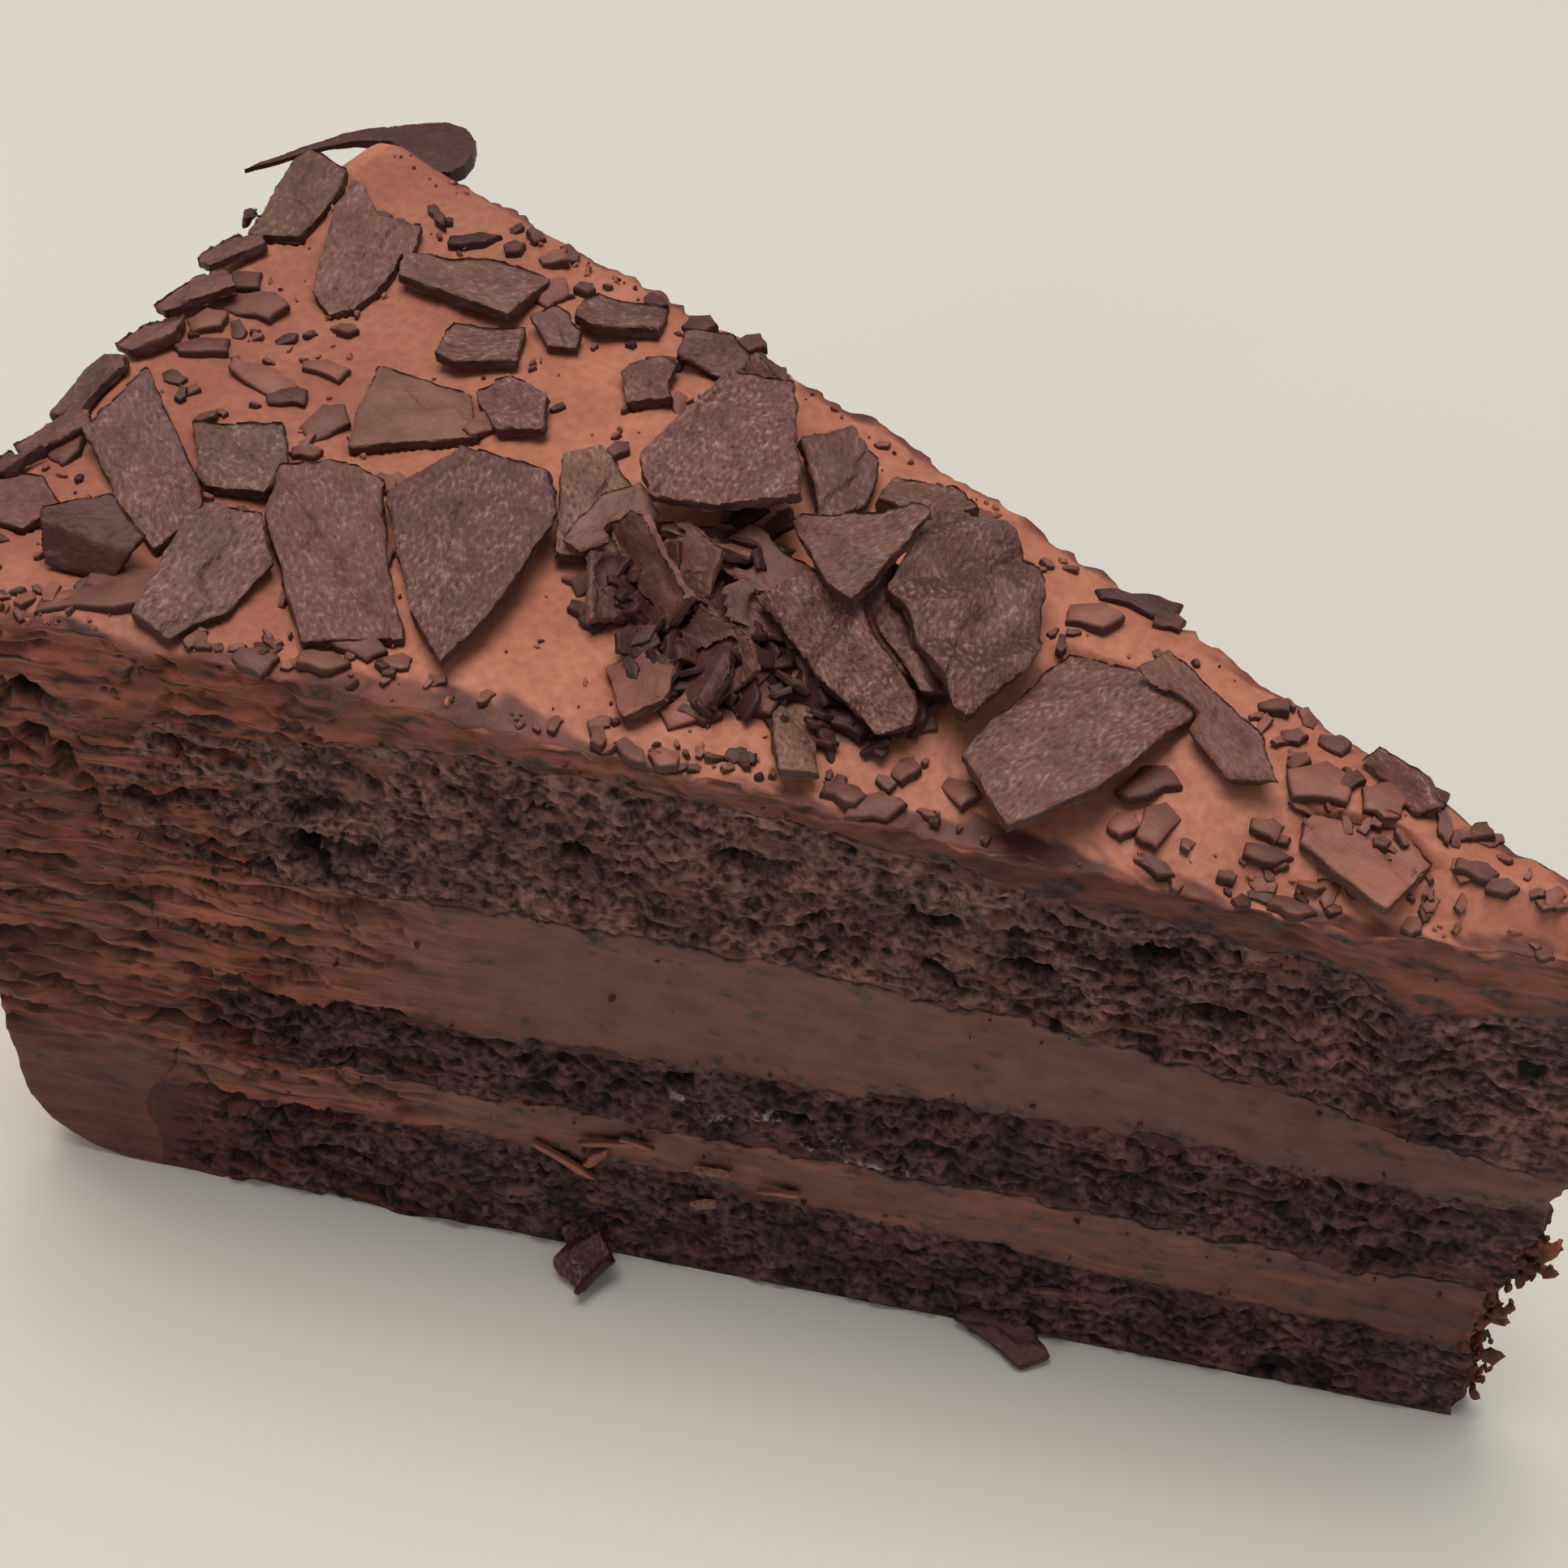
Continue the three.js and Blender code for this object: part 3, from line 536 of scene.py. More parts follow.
def tipRadius(height, across):
    torn = 1 - ease(height, *cake["tornTip"])
    coords = faceCoords(2, across, height)
    return lerp(cake["tipHigh"], cake["tipLow"], torn) + wander(coords, tipRagged, 4)


def rimEdge(angle):  # radius of the rim's edge, tighter towards the back corner
    return lerp(cake["rimEdge"], cake["cornerEdge"], ease(angle, cake["halfAngle"] / 2, cake["halfAngle"]))


coatSwell = {"broad": (0.5, 17.0), "knife": (0.22, 5.0), "fine": (0.07, 1.4)}
# The cut edges of the top droop unevenly, and most at the back corner
edgeFall = {"depth": (0.2, 0.9), "reach": (0.9, 2.4), "size": 6.0, "corner": (98, 112)}


def coatTop(radius, angle):
    half = cake["halfAngle"]
    front = through(cake["stations"], cake["coatTopFront"], radius)
    back = through(cake["stations"], cake["coatTopBack"], radius)
    swell = wander(polar(radius, angle, 0.5), coatSwell, 8)
    along = faceCoords(radius, np.sign(angle), 0.0)
    depth = lerp(*edgeFall["depth"], ease(lumps(along, edgeFall["size"], 105), -0.3, 0.4))
    deepest = lerp(depth, edgeFall["depth"][1], ease(radius, *edgeFall["corner"]))
    depth = np.where(angle > 0, deepest, depth)
    reach = lerp(*edgeFall["reach"], ease(lumps(along, edgeFall["size"], 106), -0.4, 0.4))
    fall = depth * np.exp(-(radius * (half - np.abs(angle)) / reach) ** 2)
    return lerp(front, back, ease(angle, -half, half * 0.3)) + swell - fall


# Heights where the layers meet, read off the frame's solids
readRadii = np.arange(8.0, 105.0, 4.0)
readAngles = np.radians(np.linspace(-13.5, 13.5, 7))


def readHeights(node):
    tree = solidTree([node])
    lower, upper = np.zeros((2, len(readRadii), len(readAngles)))
    for (a, radius), (b, angle) in itertools.product(enumerate(readRadii), enumerate(readAngles)):
        x, y, _ = polar(radius, angle, 0) * mm
        lower[a, b] = tree.ray_cast(Vector((x, y, -0.01)), Vector((0, 0, 1)))[0].z / mm
        upper[a, b] = tree.ray_cast(Vector((x, y, 0.1)), Vector((0, 0, -1)))[0].z / mm
    return lower, upper


readings = [readHeights(node) for node in layers]
meetings = [(below[1] + above[0]) / 2 for below, above in zip(readings[:-1], readings[1:])]
meetings.append(readings[-1][1] + 0.15)  # the coat lies just over the top layer
edgeWander = {"broad": (1.1, 9.0), "crumb": (0.8, 2.6), "fine": (0.4, 0.9)}


def meeting(n, radius, angle, across):  # height of the n-th meeting of two layers
    a = np.clip((radius - readRadii[0]) / (readRadii[1] - readRadii[0]), 0, len(readRadii) - 1.001)
    b = np.clip((angle - readAngles[0]) / (readAngles[1] - readAngles[0]), 0, len(readAngles) - 1.001)
    i, j = a.astype(int), b.astype(int)
    heights = meetings[n]
    near = lerp(heights[i, j], heights[i, j + 1], b - j)
    far = lerp(heights[i + 1, j], heights[i + 1, j + 1], b - j)
    return lerp(near, far, a - i) + wander(faceCoords(radius, across, 0.0), edgeWander, 20 + n)


def layerBlock(n, steps):  # one layer between its two meetings, out to the coat's wall
    i, j, k, faces = blockSkin(steps)
    u, v, w = i / steps[0], j / steps[1], k / steps[2]
    half = cake["halfAngle"]
    angle, across = lerp(-half, half, v), 2 * v - 1
    roughRadius = lerp(cake["tipHigh"], cake["stations"][-1], u)
    top = meeting(n, roughRadius, angle, across)
    base = meeting(n - 1, roughRadius, angle, across) if n else 0 * top
    height = lerp(base, top, w)
    outside = wallRadius(height, across) + 0.1  # a little into the coat
    radius = lerp(tipRadius(height, across), outside, u)
    cutFace = (j == 0) | (j == steps[1]) | (i == 0)
    toEdge = np.minimum(np.minimum(height - base, top - height), (1 - u) * cake["stations"][-1])
    return {"radius": radius, "angle": angle, "across": across, "height": height, "faces": faces,
            "cutFace": cutFace, "toEdge": toEdge, "coords": faceCoords(radius, across, height)}


def pushed(block, relief):  # points of a block with this relief on its cut faces
    points = polar(block["radius"], block["angle"], block["height"])
    clear = ease(block["radius"], *cake["roughFrom"])
    return points + outward(block["across"]) * (relief * clear * block["cutFace"])[:, None]


# Marks of the knife on the cut faces, the same across every layer and the coat
dragLook = {
    "tornFrom": (76, 104),  # distances from the tip over which smooth cuts turn to torn ones
    "smoothFrom": (104, 114), "smoothTo": (12, 22),  # distances and heights of the coat's smooth foot
    "warp": (5.0, 0.9),
    "streaks": ((15.0, 1.3, 0.55), (7.0, 0.6, 0.3), (3.0, 0.3, 0.12)),  # length, thickness, depth
    "plainCut": 0.2,  # how far the streaks show on a smooth cut
    "slant": 0.14, "sway": (9.0, 1.2),  # rise of the cracks along the face, and their waves
    "cracks": ((15.0, 2.4, 0.14, 1.3), (8.0, 1.2, 0.07, 0.5)),  # length, spacing, width, depth
    "crackedFrom": (0.25, 0.8), "crackGaps": ((0.3, 1, 1), 2.6),
    "fibres": (3.6, 0.8, 6.0, 2.6),  # length, thickness, and the size and depth of their turns
    "lowTo": 46.0, "lowShare": 0.6,  # the faces darken below this height
    "pitRagged": (1.3, 0.6),
    # pits that show on the front face: distance from the tip, height, reach along, reach up, depth
    "pits": ((95.8, 47.4, 1.7, 1.7, 1.9), (75.2, 52.9, 1.3, 1.1, 1.3), (62.8, 55.2, 3.4, 0.6, 1.5),
             (33.8, 52.4, 2.2, 1.4, 2.0), (29.2, 46.8, 3.0, 0.9, 1.7), (7.2, 47.3, 1.3, 1.9, 1.3),
             (42.9, 48.5, 2.8, 0.7, 1.4), (49.4, 52.3, 2.4, 0.7, 1.2), (68.5, 27.1, 1.5, 1.1, 1.3),
             (99.0, 12.4, 3.4, 0.8, 1.2), (58.6, 25.0, 1.0, 0.9, 1.2), (37.6, 50.8, 1.8, 0.8, 1.4),
             (115.4, 60.8, 2.2, 1.3, 1.4), (115.2, 56.0, 1.3, 1.2, 1.4), (113.6, 53.8, 1.2, 1.5, 1.5),
             (112.3, 51.0, 1.0, 1.3, 1.2), (113.0, 30.6, 2.6, 0.6, 1.2), (107.4, 30.0, 2.0, 0.6, 1.2),
             (117.2, 40.8, 2.4, 0.6, 1.0), (120.0, 24.6, 2.6, 0.7, 1.2), (91.0, 48.6, 1.2, 0.8, 1.1)),
}


def frontReach(block, radius, height, along, up):  # 0 at a spot of the front face, 1 at its rim
    reach = ((block["radius"] - radius) / along) ** 2 + ((block["height"] - height) / up) ** 2
    return np.where(block["across"] < 0, reach, 9.0)  # out of reach on the other faces


def smoothFoot(block):  # 0 on the smooth foot of the coat, 1 elsewhere
    atWall = ease(block["radius"], *dragLook["smoothFrom"])
    return lerp(1, ease(block["height"], *dragLook["smoothTo"]), atWall)


def streaked(coords, length, thickness, seed):
    return lumps(coords * (1 / length, 1, 1 / thickness), 1.0, seed)


def dragged(block):  # how torn the cut is, its relief, the painted shade in its cracks and pits, and its darker foot
    spec = dragLook
    coords = warped(block["coords"], *spec["warp"], 70)
    torn = ease(block["radius"], *spec["tornFrom"]) * smoothFoot(block)
    streaks = sum(depth * streaked(coords, length, thickness, 74 + n)
                  for n, (length, thickness, depth) in enumerate(spec["streaks"]))
    relief = streaks * lerp(spec["plainCut"], 1, torn)
    size, depth = spec["sway"]
    climb = spec["slant"] * coords[:, 0] + depth * lumps(coords, size, 73)
    slanted = coords + np.outer(climb, (0, 0, 1))
    stretch, size = spec["crackGaps"]
    cracked = ease(torn, *spec["crackedFrom"]) * ease(lumps(coords * stretch, size, 98), -0.2, 0.15)
    paintedShade = np.zeros(len(coords))
    for n, (length, spacing, width, depth) in enumerate(spec["cracks"]):
        line = cracked * np.clip(1 - np.abs(streaked(slanted, length, spacing, 95 + n)) / width, 0, 1)
        relief -= depth * line
        paintedShade = np.maximum(paintedShade, line)
    size, depth = spec["pitRagged"]
    ragged = depth * crags(coords, size, 2, 50)
    for *spot, depth in spec["pits"]:
        hollow = 1 - ease(frontReach(block, *spot) + ragged, 0.3, 1.0)
        relief -= depth * hollow
        paintedShade = np.maximum(paintedShade, hollow)
    low = spec["lowShare"] * (1 - ease(block["height"], 0, spec["lowTo"]))
    return torn, relief, paintedShade, low


def fibres(block):  # torn shreds in turning directions, about 0
    length, thickness, size, depth = dragLook["fibres"]
    return streaked(warped(block["coords"], size, depth, 120), length, thickness, 124)


# Sponge layers

spongeLook = {
    "along": 470, "across": 4, "row": 0.23,
    "lumps": ((9.0, 0.5), (2.4, 0.35)),  # size and depth
    "crags": (1.2, 0.3),
    "warp": (1.0, 0.8),
    "stretch": (0.6, 1, 1.0),  # pores are drawn out along the layer
    # pores: spacing, sizes, share, depth, and the painted shade in them
    "pores": ((1.0, (0.22, 0.5), 0.62, 0.5, 0.8), (2.3, (0.18, 0.36), 0.4, 0.9, 0.95)),
    "fibrous": (12.0, 0.012, 70),  # size of the fibrous patches, and how they fade past a distance
    "fibreDepth": 0.8, "fibreGapShade": 0.75,
    "scraps": (3.0, 0.75),  # size and strength of the pale shreds
    "tipShade": (0.5, 5, 65),  # darker by this much between these distances from the tip
    # cream smeared over the sponge: stretch and share of its streaks, and more at the edges and the rim
    "smears": (((0.14, 1, 0.9), 1.0), ((0.35, 1, 1.5), 0.6)),
    "edgeSmear": (0.6, 1.1), "rimSmear": 0.75, "smearFrom": (96, 113),
    # damp spots of the middle layer, less rough and with painted glints: distance from the tip, height, reach
    # along, reach up
    "dampGlints": ((65.3, 22.6, 1.2, 0.8), (68.4, 25.0, 0.9, 0.7), (61.6, 24.2, 1.6, 0.9), (55.6, 23.4, 1.0, 0.8),
              (53.4, 19.8, 2.8, 0.8), (50.6, 19.6, 1.0, 0.7), (58.2, 21.2, 2.2, 0.6)),
    "heights": {"sponge_bottom": 12.0, "sponge_middle": 10.5, "sponge_top": 16.0},
    "shade": {"sponge_bottom": 0.9, "sponge_middle": 0.75, "sponge_top": 0.0},
}


def spongePores(coords, relief):  # sinks the pores into the relief and gives the painted shade in them
    spec = spongeLook
    ragged = warped(coords * spec["stretch"], *spec["warp"], 36)
    poreShade = np.zeros(len(relief))
    for n, (spacing, sizes, share, depth, darkness) in enumerate(spec["pores"]):
        hollow = pores(ragged, spacing, sizes, share, 40 + 2 * n)
        relief -= depth * hollow
        poreShade = np.maximum(poreShade, darkness * ease(hollow, 0.3, 1.0))
    return poreShade


def smeared(block):  # 1 where cream is drawn over the sponge
    spec = spongeLook
    streaks = sum(share * lumps(block["coords"] * stretch, 1.0, 60 + n)
                  for n, (stretch, share) in enumerate(spec["smears"]))
    share, reach = spec["edgeSmear"]
    bias = share * np.exp(-block["toEdge"] / reach)
    bias += spec["rimSmear"] * ease(block["radius"], *spec["smearFrom"])
    return ease(streaks + bias, 0.4, 0.85)


def makeSponge(node):
    spec = spongeLook
    rows = round(spec["heights"][node] / spec["row"])
    block = layerBlock(layers.index(node), (spec["along"], spec["across"], rows))
    coords = block["coords"]
    size, depth = spec["crags"]
    relief = layered(coords, spec["lumps"], 30) + depth * crags(coords, size, 3, 34)
    poreShade = spongePores(coords, relief)
    torn, drag, paintedShade, low = dragged(block)
    shreds = fibres(block)
    size, fade, middle = spec["fibrous"]
    fibrous = ease(lumps(coords, size, 126) - fade * (block["radius"] - middle), -0.55, 0.25)
    relief += spec["fibreDepth"] * shreds * fibrous
    # painted shade in the gaps between the fibres
    poreShade = np.maximum(poreShade, spec["fibreGapShade"] * ease(-shreds, 0.26, 0.46) * fibrous)
    size, strength = spec["scraps"]
    scrap = strength * ease(shreds, 0.2, 0.4) * fibrous * ease(lumps(coords, size, 127), -0.1, 0.3)
    shade, *reach = spec["tipShade"]
    low = np.clip(low + spec["shade"][node] + shade * (1 - ease(block["radius"], *reach)), 0, 1)
    smear = smeared(block)
    relief = lerp(relief, 0, smear)
    relief = lerp(0, relief, ease(block["toEdge"], 0, cake["flush"])) + drag
    # spots with painted glints and lower roughness
    dampGlints = np.max([1 - ease(frontReach(block, *spot), 0.4, 1.0) for spot in spec["dampGlints"]], axis=0)
    marks = {"poreShade": np.maximum(poreShade * (1 - smear), paintedShade), "smear": smear * (0.85 - 0.6 * paintedShade),
             "dampGlints": dampGlints, "torn": torn, "low": low, "scrap": scrap}
    return makePiece(node + "_crumb", pushed(block, relief), block["faces"], look["sponge"], marks,
                     replaced=[node])


for node in spongeLook["heights"]:
    piece = makeSponge(node)
    print("sponge layer", piece.name, len(piece.data.polygons), "faces")


# Cream fillings

creamLook = {
    "along": 400, "across": 4,
    "rows": {"cream_lower": 26, "cream_upper": 36},
    "swell": ((10.0, 0.35), (4.0, 0.14)),  # size and depth
    # specks: stretch, warp, spacing, sizes and share, in patches of this size
    "specks": ((0.7, 1, 1), (0.7, 0.6), 1.2, (0.15, 0.4), 0.3), "speckPatch": 7.0,
    # crumbs: stretch and size, and how many lie along the edges
    "crumbs": ((0.55, 1, 1), 1.6), "edgeCrumbs": (0.85, 0.9), "crumbRise": 0.12,
    "thin": "cream_lower", "thinCrumbs": (6.0, 0.4), "thinTorn": ((0.4, 1, 1), 3.0, 0.3),
    "footShade": {"cream_lower": 0.15, "cream_upper": 1.0},
    # darker by this much between these distances from the tip
    "tipShade": {"cream_lower": (0.75, 8, 34), "cream_upper": (0.5, 15, 65)},
}


def makeCream(node):
    spec = creamLook
    block = layerBlock(layers.index(node), (spec["along"], spec["across"], spec["rows"][node]))
    coords, toEdge = block["coords"], block["toEdge"]
    torn, drag, paintedShade, low = dragged(block)
    relief = drag + layered(coords, spec["swell"], 64) * ease(toEdge, 0, cake["flush"])
    stretch, warp, spacing, sizes, share = spec["specks"]
    speck = ease(pores(warped(coords * stretch, *warp, 80), spacing, sizes, share, 82), 0.1, 0.6)
    scattered = speck * ease(lumps(coords, spec["speckPatch"], 86), 0.0, 0.35)
    stretch, size = spec["crumbs"]
    ragged = crags(coords * stretch, size, 3, 84)
    share, reach = spec["edgeCrumbs"]
    crumb = ease(ragged + share * np.exp(-toEdge / reach), 0.4, 0.85) * (1 - 0.7 * torn)
    if node == spec["thin"]:  # crumbs dragged through the thin filling
        size, share = spec["thinCrumbs"]
        scattered = np.maximum(scattered, ease(ragged + share * lumps(coords, size, 87), 0.1, 0.42))
        stretch, size, share = spec["thinTorn"]
        torn = np.maximum(torn, share * ease(lumps(coords * stretch, size, 88), -0.15, 0.3))
    shade, *reach = spec["tipShade"][node]
    low = np.maximum(spec["footShade"][node] * low, shade * (1 - ease(block["radius"], *reach)))
    crumb = np.maximum(crumb, 0.5 * scattered)
    relief += spec["crumbRise"] * crumb
    marks = {"torn": torn, "crumb": crumb, "paintedShade": 0.85 * paintedShade, "low": low}
    return makePiece(node + "_filling", pushed(block, relief), block["faces"], look["cream"], marks,
                     replaced=[node])


for node in creamLook["rows"]:
    piece = makeCream(node)
    print("cream filling", piece.name, len(piece.data.polygons), "faces")


# Coat of chocolate cream over the top and the rim

coatLook = {
    "topSteps": 270, "wallSteps": 150, "across": 140, "rows": 26, "underStep": 20,
    "pressGap": 0.15, "pressReach": 8.0,  # room under a shard, and the deepest that one sinks
    "cutFrom": 0.2,  # the cut starts at this height
    "cutLumps": ((8.0, 0.35), (2.0, 0.25)),  # size and depth
    "fibreDepth": 0.35, "edgeCrags": (1.5, 0.4),
    "edgeLimits": (-0.25, 0.4), "edgeReach": (0.1, 1.2),  # the edge of the top stays whole
    "rimShare": 0.2,  # share of the outer side that belongs to the rim
    "wallSwell": ((16.0, 0.5), (5.0, 0.2)),
    "wallFrom": (0.02, 0.15), "wallTo": (0.8, 1),
    "tornLeast": (0.35, 0.6),  # on the smooth foot, and above it
    "footRelief": 0.25,  # share of the relief that stays on the smooth foot
    # crumbs stuck to the cut: stretch and size, more along the sponge and near the tip
    "crumbs": ((0.5, 1, 1), 1.8), "innerCrumbs": (0.9, 0.9), "tipCrumbs": (0.3, 20, 60),
    "topLap": (0.9, 1.8),  # the pale top laps over the cut
    # where the cut laps over the front edge of the top: distance from the tip, reach, width
    "laps": ((84, 9, 2.4), (44, 9, 1.8), (98, 6, 0.8), (116, 7, 1.2), (57, 5, 0.6)),
    "lapLeast": 0.3, "lapRagged": ((0.35, 1, 1), 1.6, 1.1),
    # painted shadow under the heap of shards: distance from the tip, angle, reach
    "heapShadows": ((75.5, -2.5, 4.5), (73, -6, 3.2), (70, -7.5, 3.0), (66, -4, 5.0), (66, -9, 2.4),
                (61, -8.5, 2.4), (57, -7.5, 2.4)),
    # distances from the tip over which the cut and the top darken
    "cutShade": (35, 85), "tipShade": (14, 42), "rimShade": (88, 106), "wallShade": (106, 118),
    "darkness": {"tip": 0.3, "shadedLap": 0.8, "rim": 0.4, "foot": 0.35, "wall": 0.55,
                 "heapShadow": 0.8, "paintedShade": 0.95},
}
shardNames = sorted(n for n in nodes if n.startswith(("shard_", "heap_blade")))
shardTree = solidTree(shardNames)


def wallOutside(share, angle):  # the outer face over the rim, down the side and under at the foot
    edge, foot = rimEdge(angle), cake["footEdge"]
    rim = coatTop(cake["radius"] - edge, angle)
    straight = rim - edge - foot
    travel = share * (math.pi / 2 * (edge + foot) + straight)
    over = np.clip(travel / edge, 0, math.pi / 2)
    down = np.clip(travel - edge * math.pi / 2, 0, straight)
    under = np.clip((travel - edge * math.pi / 2 - straight) / foot, 0, math.pi / 2)
    radius = cake["radius"] - edge * (1 - np.sin(over)) + cake["bulge"] * np.sin(math.pi * down / straight)
    height = rim - edge * (1 - np.cos(over)) - down - foot * np.sin(under)
    return radius - foot * (1 - np.cos(under)), np.maximum(height, 0)


def lapOver(radius, angle):  # 1 where the top has the look of the cut, along its edges
    least = coatLook["lapLeast"]
    width = least + sum(wide * np.exp(-((radius - middle) / reach) ** 2)
                        for middle, reach, wide in coatLook["laps"])
    width = np.where(angle < 0, width, least)
    fromEdge = radius * (cake["halfAngle"] - np.abs(angle))
    stretch, size, depth = coatLook["lapRagged"]
    ragged = depth * crags(polar(radius, angle, 0) * stretch, size, 3, 111)
    return 1 - ease(fromEdge + ragged, width - 0.5, width + 0.5)


def heapShadowed(radius, angle):  # 1 where painted shadow darkens the top under the heap
    ragged = 0.5 * crags(polar(radius, angle, 0), 2.0, 2, 112)
    away = [np.hypot(radius - middle, radius * (angle - math.radians(turn))) / reach
            for middle, turn, reach in coatLook["heapShadows"]]
    return 1 - ease(np.min(away, axis=0) + ragged, 0.6, 1.1)


def spread(depth):  # a dent's neighbours sink a little with it
    padded = np.pad(depth, 1, mode="edge")
    return sum(padded[a:a + depth.shape[0], b:b + depth.shape[1]] for a in range(3) for b in range(3)) / 9


def pressed(points, shape):  # how far the shards press into the coat's outer face
    depth = np.zeros(len(points))
    for n, (x, y, z) in enumerate(points):
        start = Vector((x * mm, y * mm, (z - coatLook["pressReach"]) * mm))
        hit = shardTree.ray_cast(start, Vector((0, 0, 1)), coatLook["pressReach"] * mm)[0]
        if hit is not None:
            depth[n] = z - hit.z / mm + coatLook["pressGap"]
    depth = depth.reshape(shape)
    soft = spread(spread(depth))
    return np.maximum(depth, soft).ravel()


def coatBlock():  # grid of the coat: over the top from the tip, then down the outer side
    spec, half = coatLook, cake["halfAngle"]
    steps = (spec["topSteps"] + spec["wallSteps"], spec["across"], spec["rows"])
    i, j, k, faces = blockSkin(steps, spec["underStep"])
    v, w = j / steps[1], k / steps[2]
    angle, across = lerp(-half, half, v), 2 * v - 1
    onTop = i <= spec["topSteps"]
    t = np.clip(i / spec["topSteps"], 0, 1)
    share = np.clip((i - spec["topSteps"]) / spec["wallSteps"], 0, 1)
    tip = tipRadius(cake["coatTopBack"][0], across)
    last = len(layers) - 1
    cornerHeight = meeting(last, cake["wallInside"][-1], angle, across)
    outerRadius = lerp(tip, cake["radius"] - rimEdge(angle), t)
    innerRadius = lerp(tip, wallRadius(cornerHeight, across), t)
    insideHeight = (1 - share) * cornerHeight
    outer = np.where(onTop, (outerRadius, coatTop(outerRadius, angle)), wallOutside(share, angle))
    inner = np.where(onTop, (innerRadius, meeting(last, innerRadius, angle, across)),
                     (wallRadius(insideHeight, across), insideHeight))
    radius, height = lerp(inner, outer, w)
    thickness = np.hypot(*(outer - inner))
    cutFace = ((j == 0) | (j == steps[1]) | (i == 0)) & (height > spec["cutFrom"])
    return {"radius": radius, "angle": angle, "height": height, "across": across, "faces": faces,
            "cutFace": cutFace, "coords": faceCoords(radius, across, height), "w": w, "onTop": onTop,
            "share": share, "skin": k == steps[2], "skinShape": (steps[0] + 1, steps[1] + 1),
            "fromInside": w * thickness, "fromOutside": (1 - w) * thickness}


def coatPoints(block, drag):  # the cut roughened, the outer side swelling and the top dented by shards
    spec, coords, share = coatLook, block["coords"], block["share"]
    relief = layered(coords, spec["cutLumps"], 90)
    size, depth = spec["edgeCrags"]
    upper = ease(block["w"], 0.5, 1) * block["onTop"]
    relief += spec["fibreDepth"] * fibres(block) + depth * crags(coords, size, 2, 107) * upper
    firm = lerp(spec["footRelief"], 1, smoothFoot(block))
    relief = drag + relief * ease(block["fromInside"], 0, cake["flush"]) * firm
    shallow = np.clip(relief, *spec["edgeLimits"])
    nearRim = share < spec["rimShare"]
    deep = ease(block["fromOutside"], *spec["edgeReach"])
    points = pushed(block, np.where(nearRim, lerp(shallow, relief, deep), relief))
    side = polar(1.0, block["angle"], 0) - (cake["tipX"], 0, 0)
    swell = layered(points, spec["wallSwell"], 100) * block["skin"]
    swell *= ease(share, *spec["wallFrom"]) * (1 - ease(share, *spec["wallTo"]))
    points += side * swell[:, None]
    dents = np.zeros(len(points))
    dents[block["skin"]] = pressed(points[block["skin"]], block["skinShape"])
    points[:, 2] -= dents * (block["onTop"] | nearRim)
    return points


def makeCoat():
    spec, block, darkness = coatLook, coatBlock(), coatLook["darkness"]
    coords, radius, angle = block["coords"], block["radius"], block["angle"]
    onTop, skin, cutFace = block["onTop"], block["skin"], block["cutFace"]
    firm = smoothFoot(block)
    torn, drag, paintedShade, low = dragged(block)
    torn = np.maximum(torn, lerp(*spec["tornLeast"], firm))
    points = coatPoints(block, drag)
    share, reach = spec["innerCrumbs"]
    bias = share * np.exp(-block["fromInside"] / reach)
    share, *reach = spec["tipCrumbs"]
    bias += share * (1 - ease(radius, *reach))
    stretch, size = spec["crumbs"]
    crumb = ease(crags(coords * stretch, size, 3, 108) + bias * onTop, 0.4, 0.85) * cutFace
    depth, size = spec["topLap"]
    top = onTop * (1 - ease(block["fromOutside"] + depth * lumps(coords, size, 109), -0.1, 0.5))
    cut = np.where(skin & onTop, lapOver(radius, angle), cutFace * (1 - top))
    tipShade = lerp(darkness["tip"], 1, ease(radius, *spec["tipShade"]))
    low = np.maximum(low, (1 - ease(radius, *spec["cutShade"])) * tipShade * onTop)
    # painted shade on the lip where the cut laps over the top
    topLow = np.maximum(darkness["shadedLap"] * cut, darkness["rim"] * ease(radius, *spec["rimShade"]))
    low = np.where(skin & onTop, topLow, low * cutFace * (1 - top))
    wallLow = darkness["wall"] * ease(radius, *spec["wallShade"]) * (1 - onTop)
    wallLow += darkness["foot"] * (1 - firm)
    low = np.maximum(low, wallLow * cutFace)
    # painted shadow under the heap on the top; painted shade in cracks and pits on the cut
    dark = np.where(skin, darkness["heapShadow"] * heapShadowed(radius, angle) * onTop,
                    darkness["paintedShade"] * paintedShade * cutFace)
    marks = {"cut": cut, "crumb": crumb * (1 - skin) * (1 - top), "torn": torn, "low": low, "paintedShade": dark}
    return makePiece("coat_cream", points, block["faces"], look["coat"], marks, replaced=["coat"])


piece = makeCoat()
print("coat", piece.name, len(piece.data.polygons), "faces")


# Broken chocolate shards

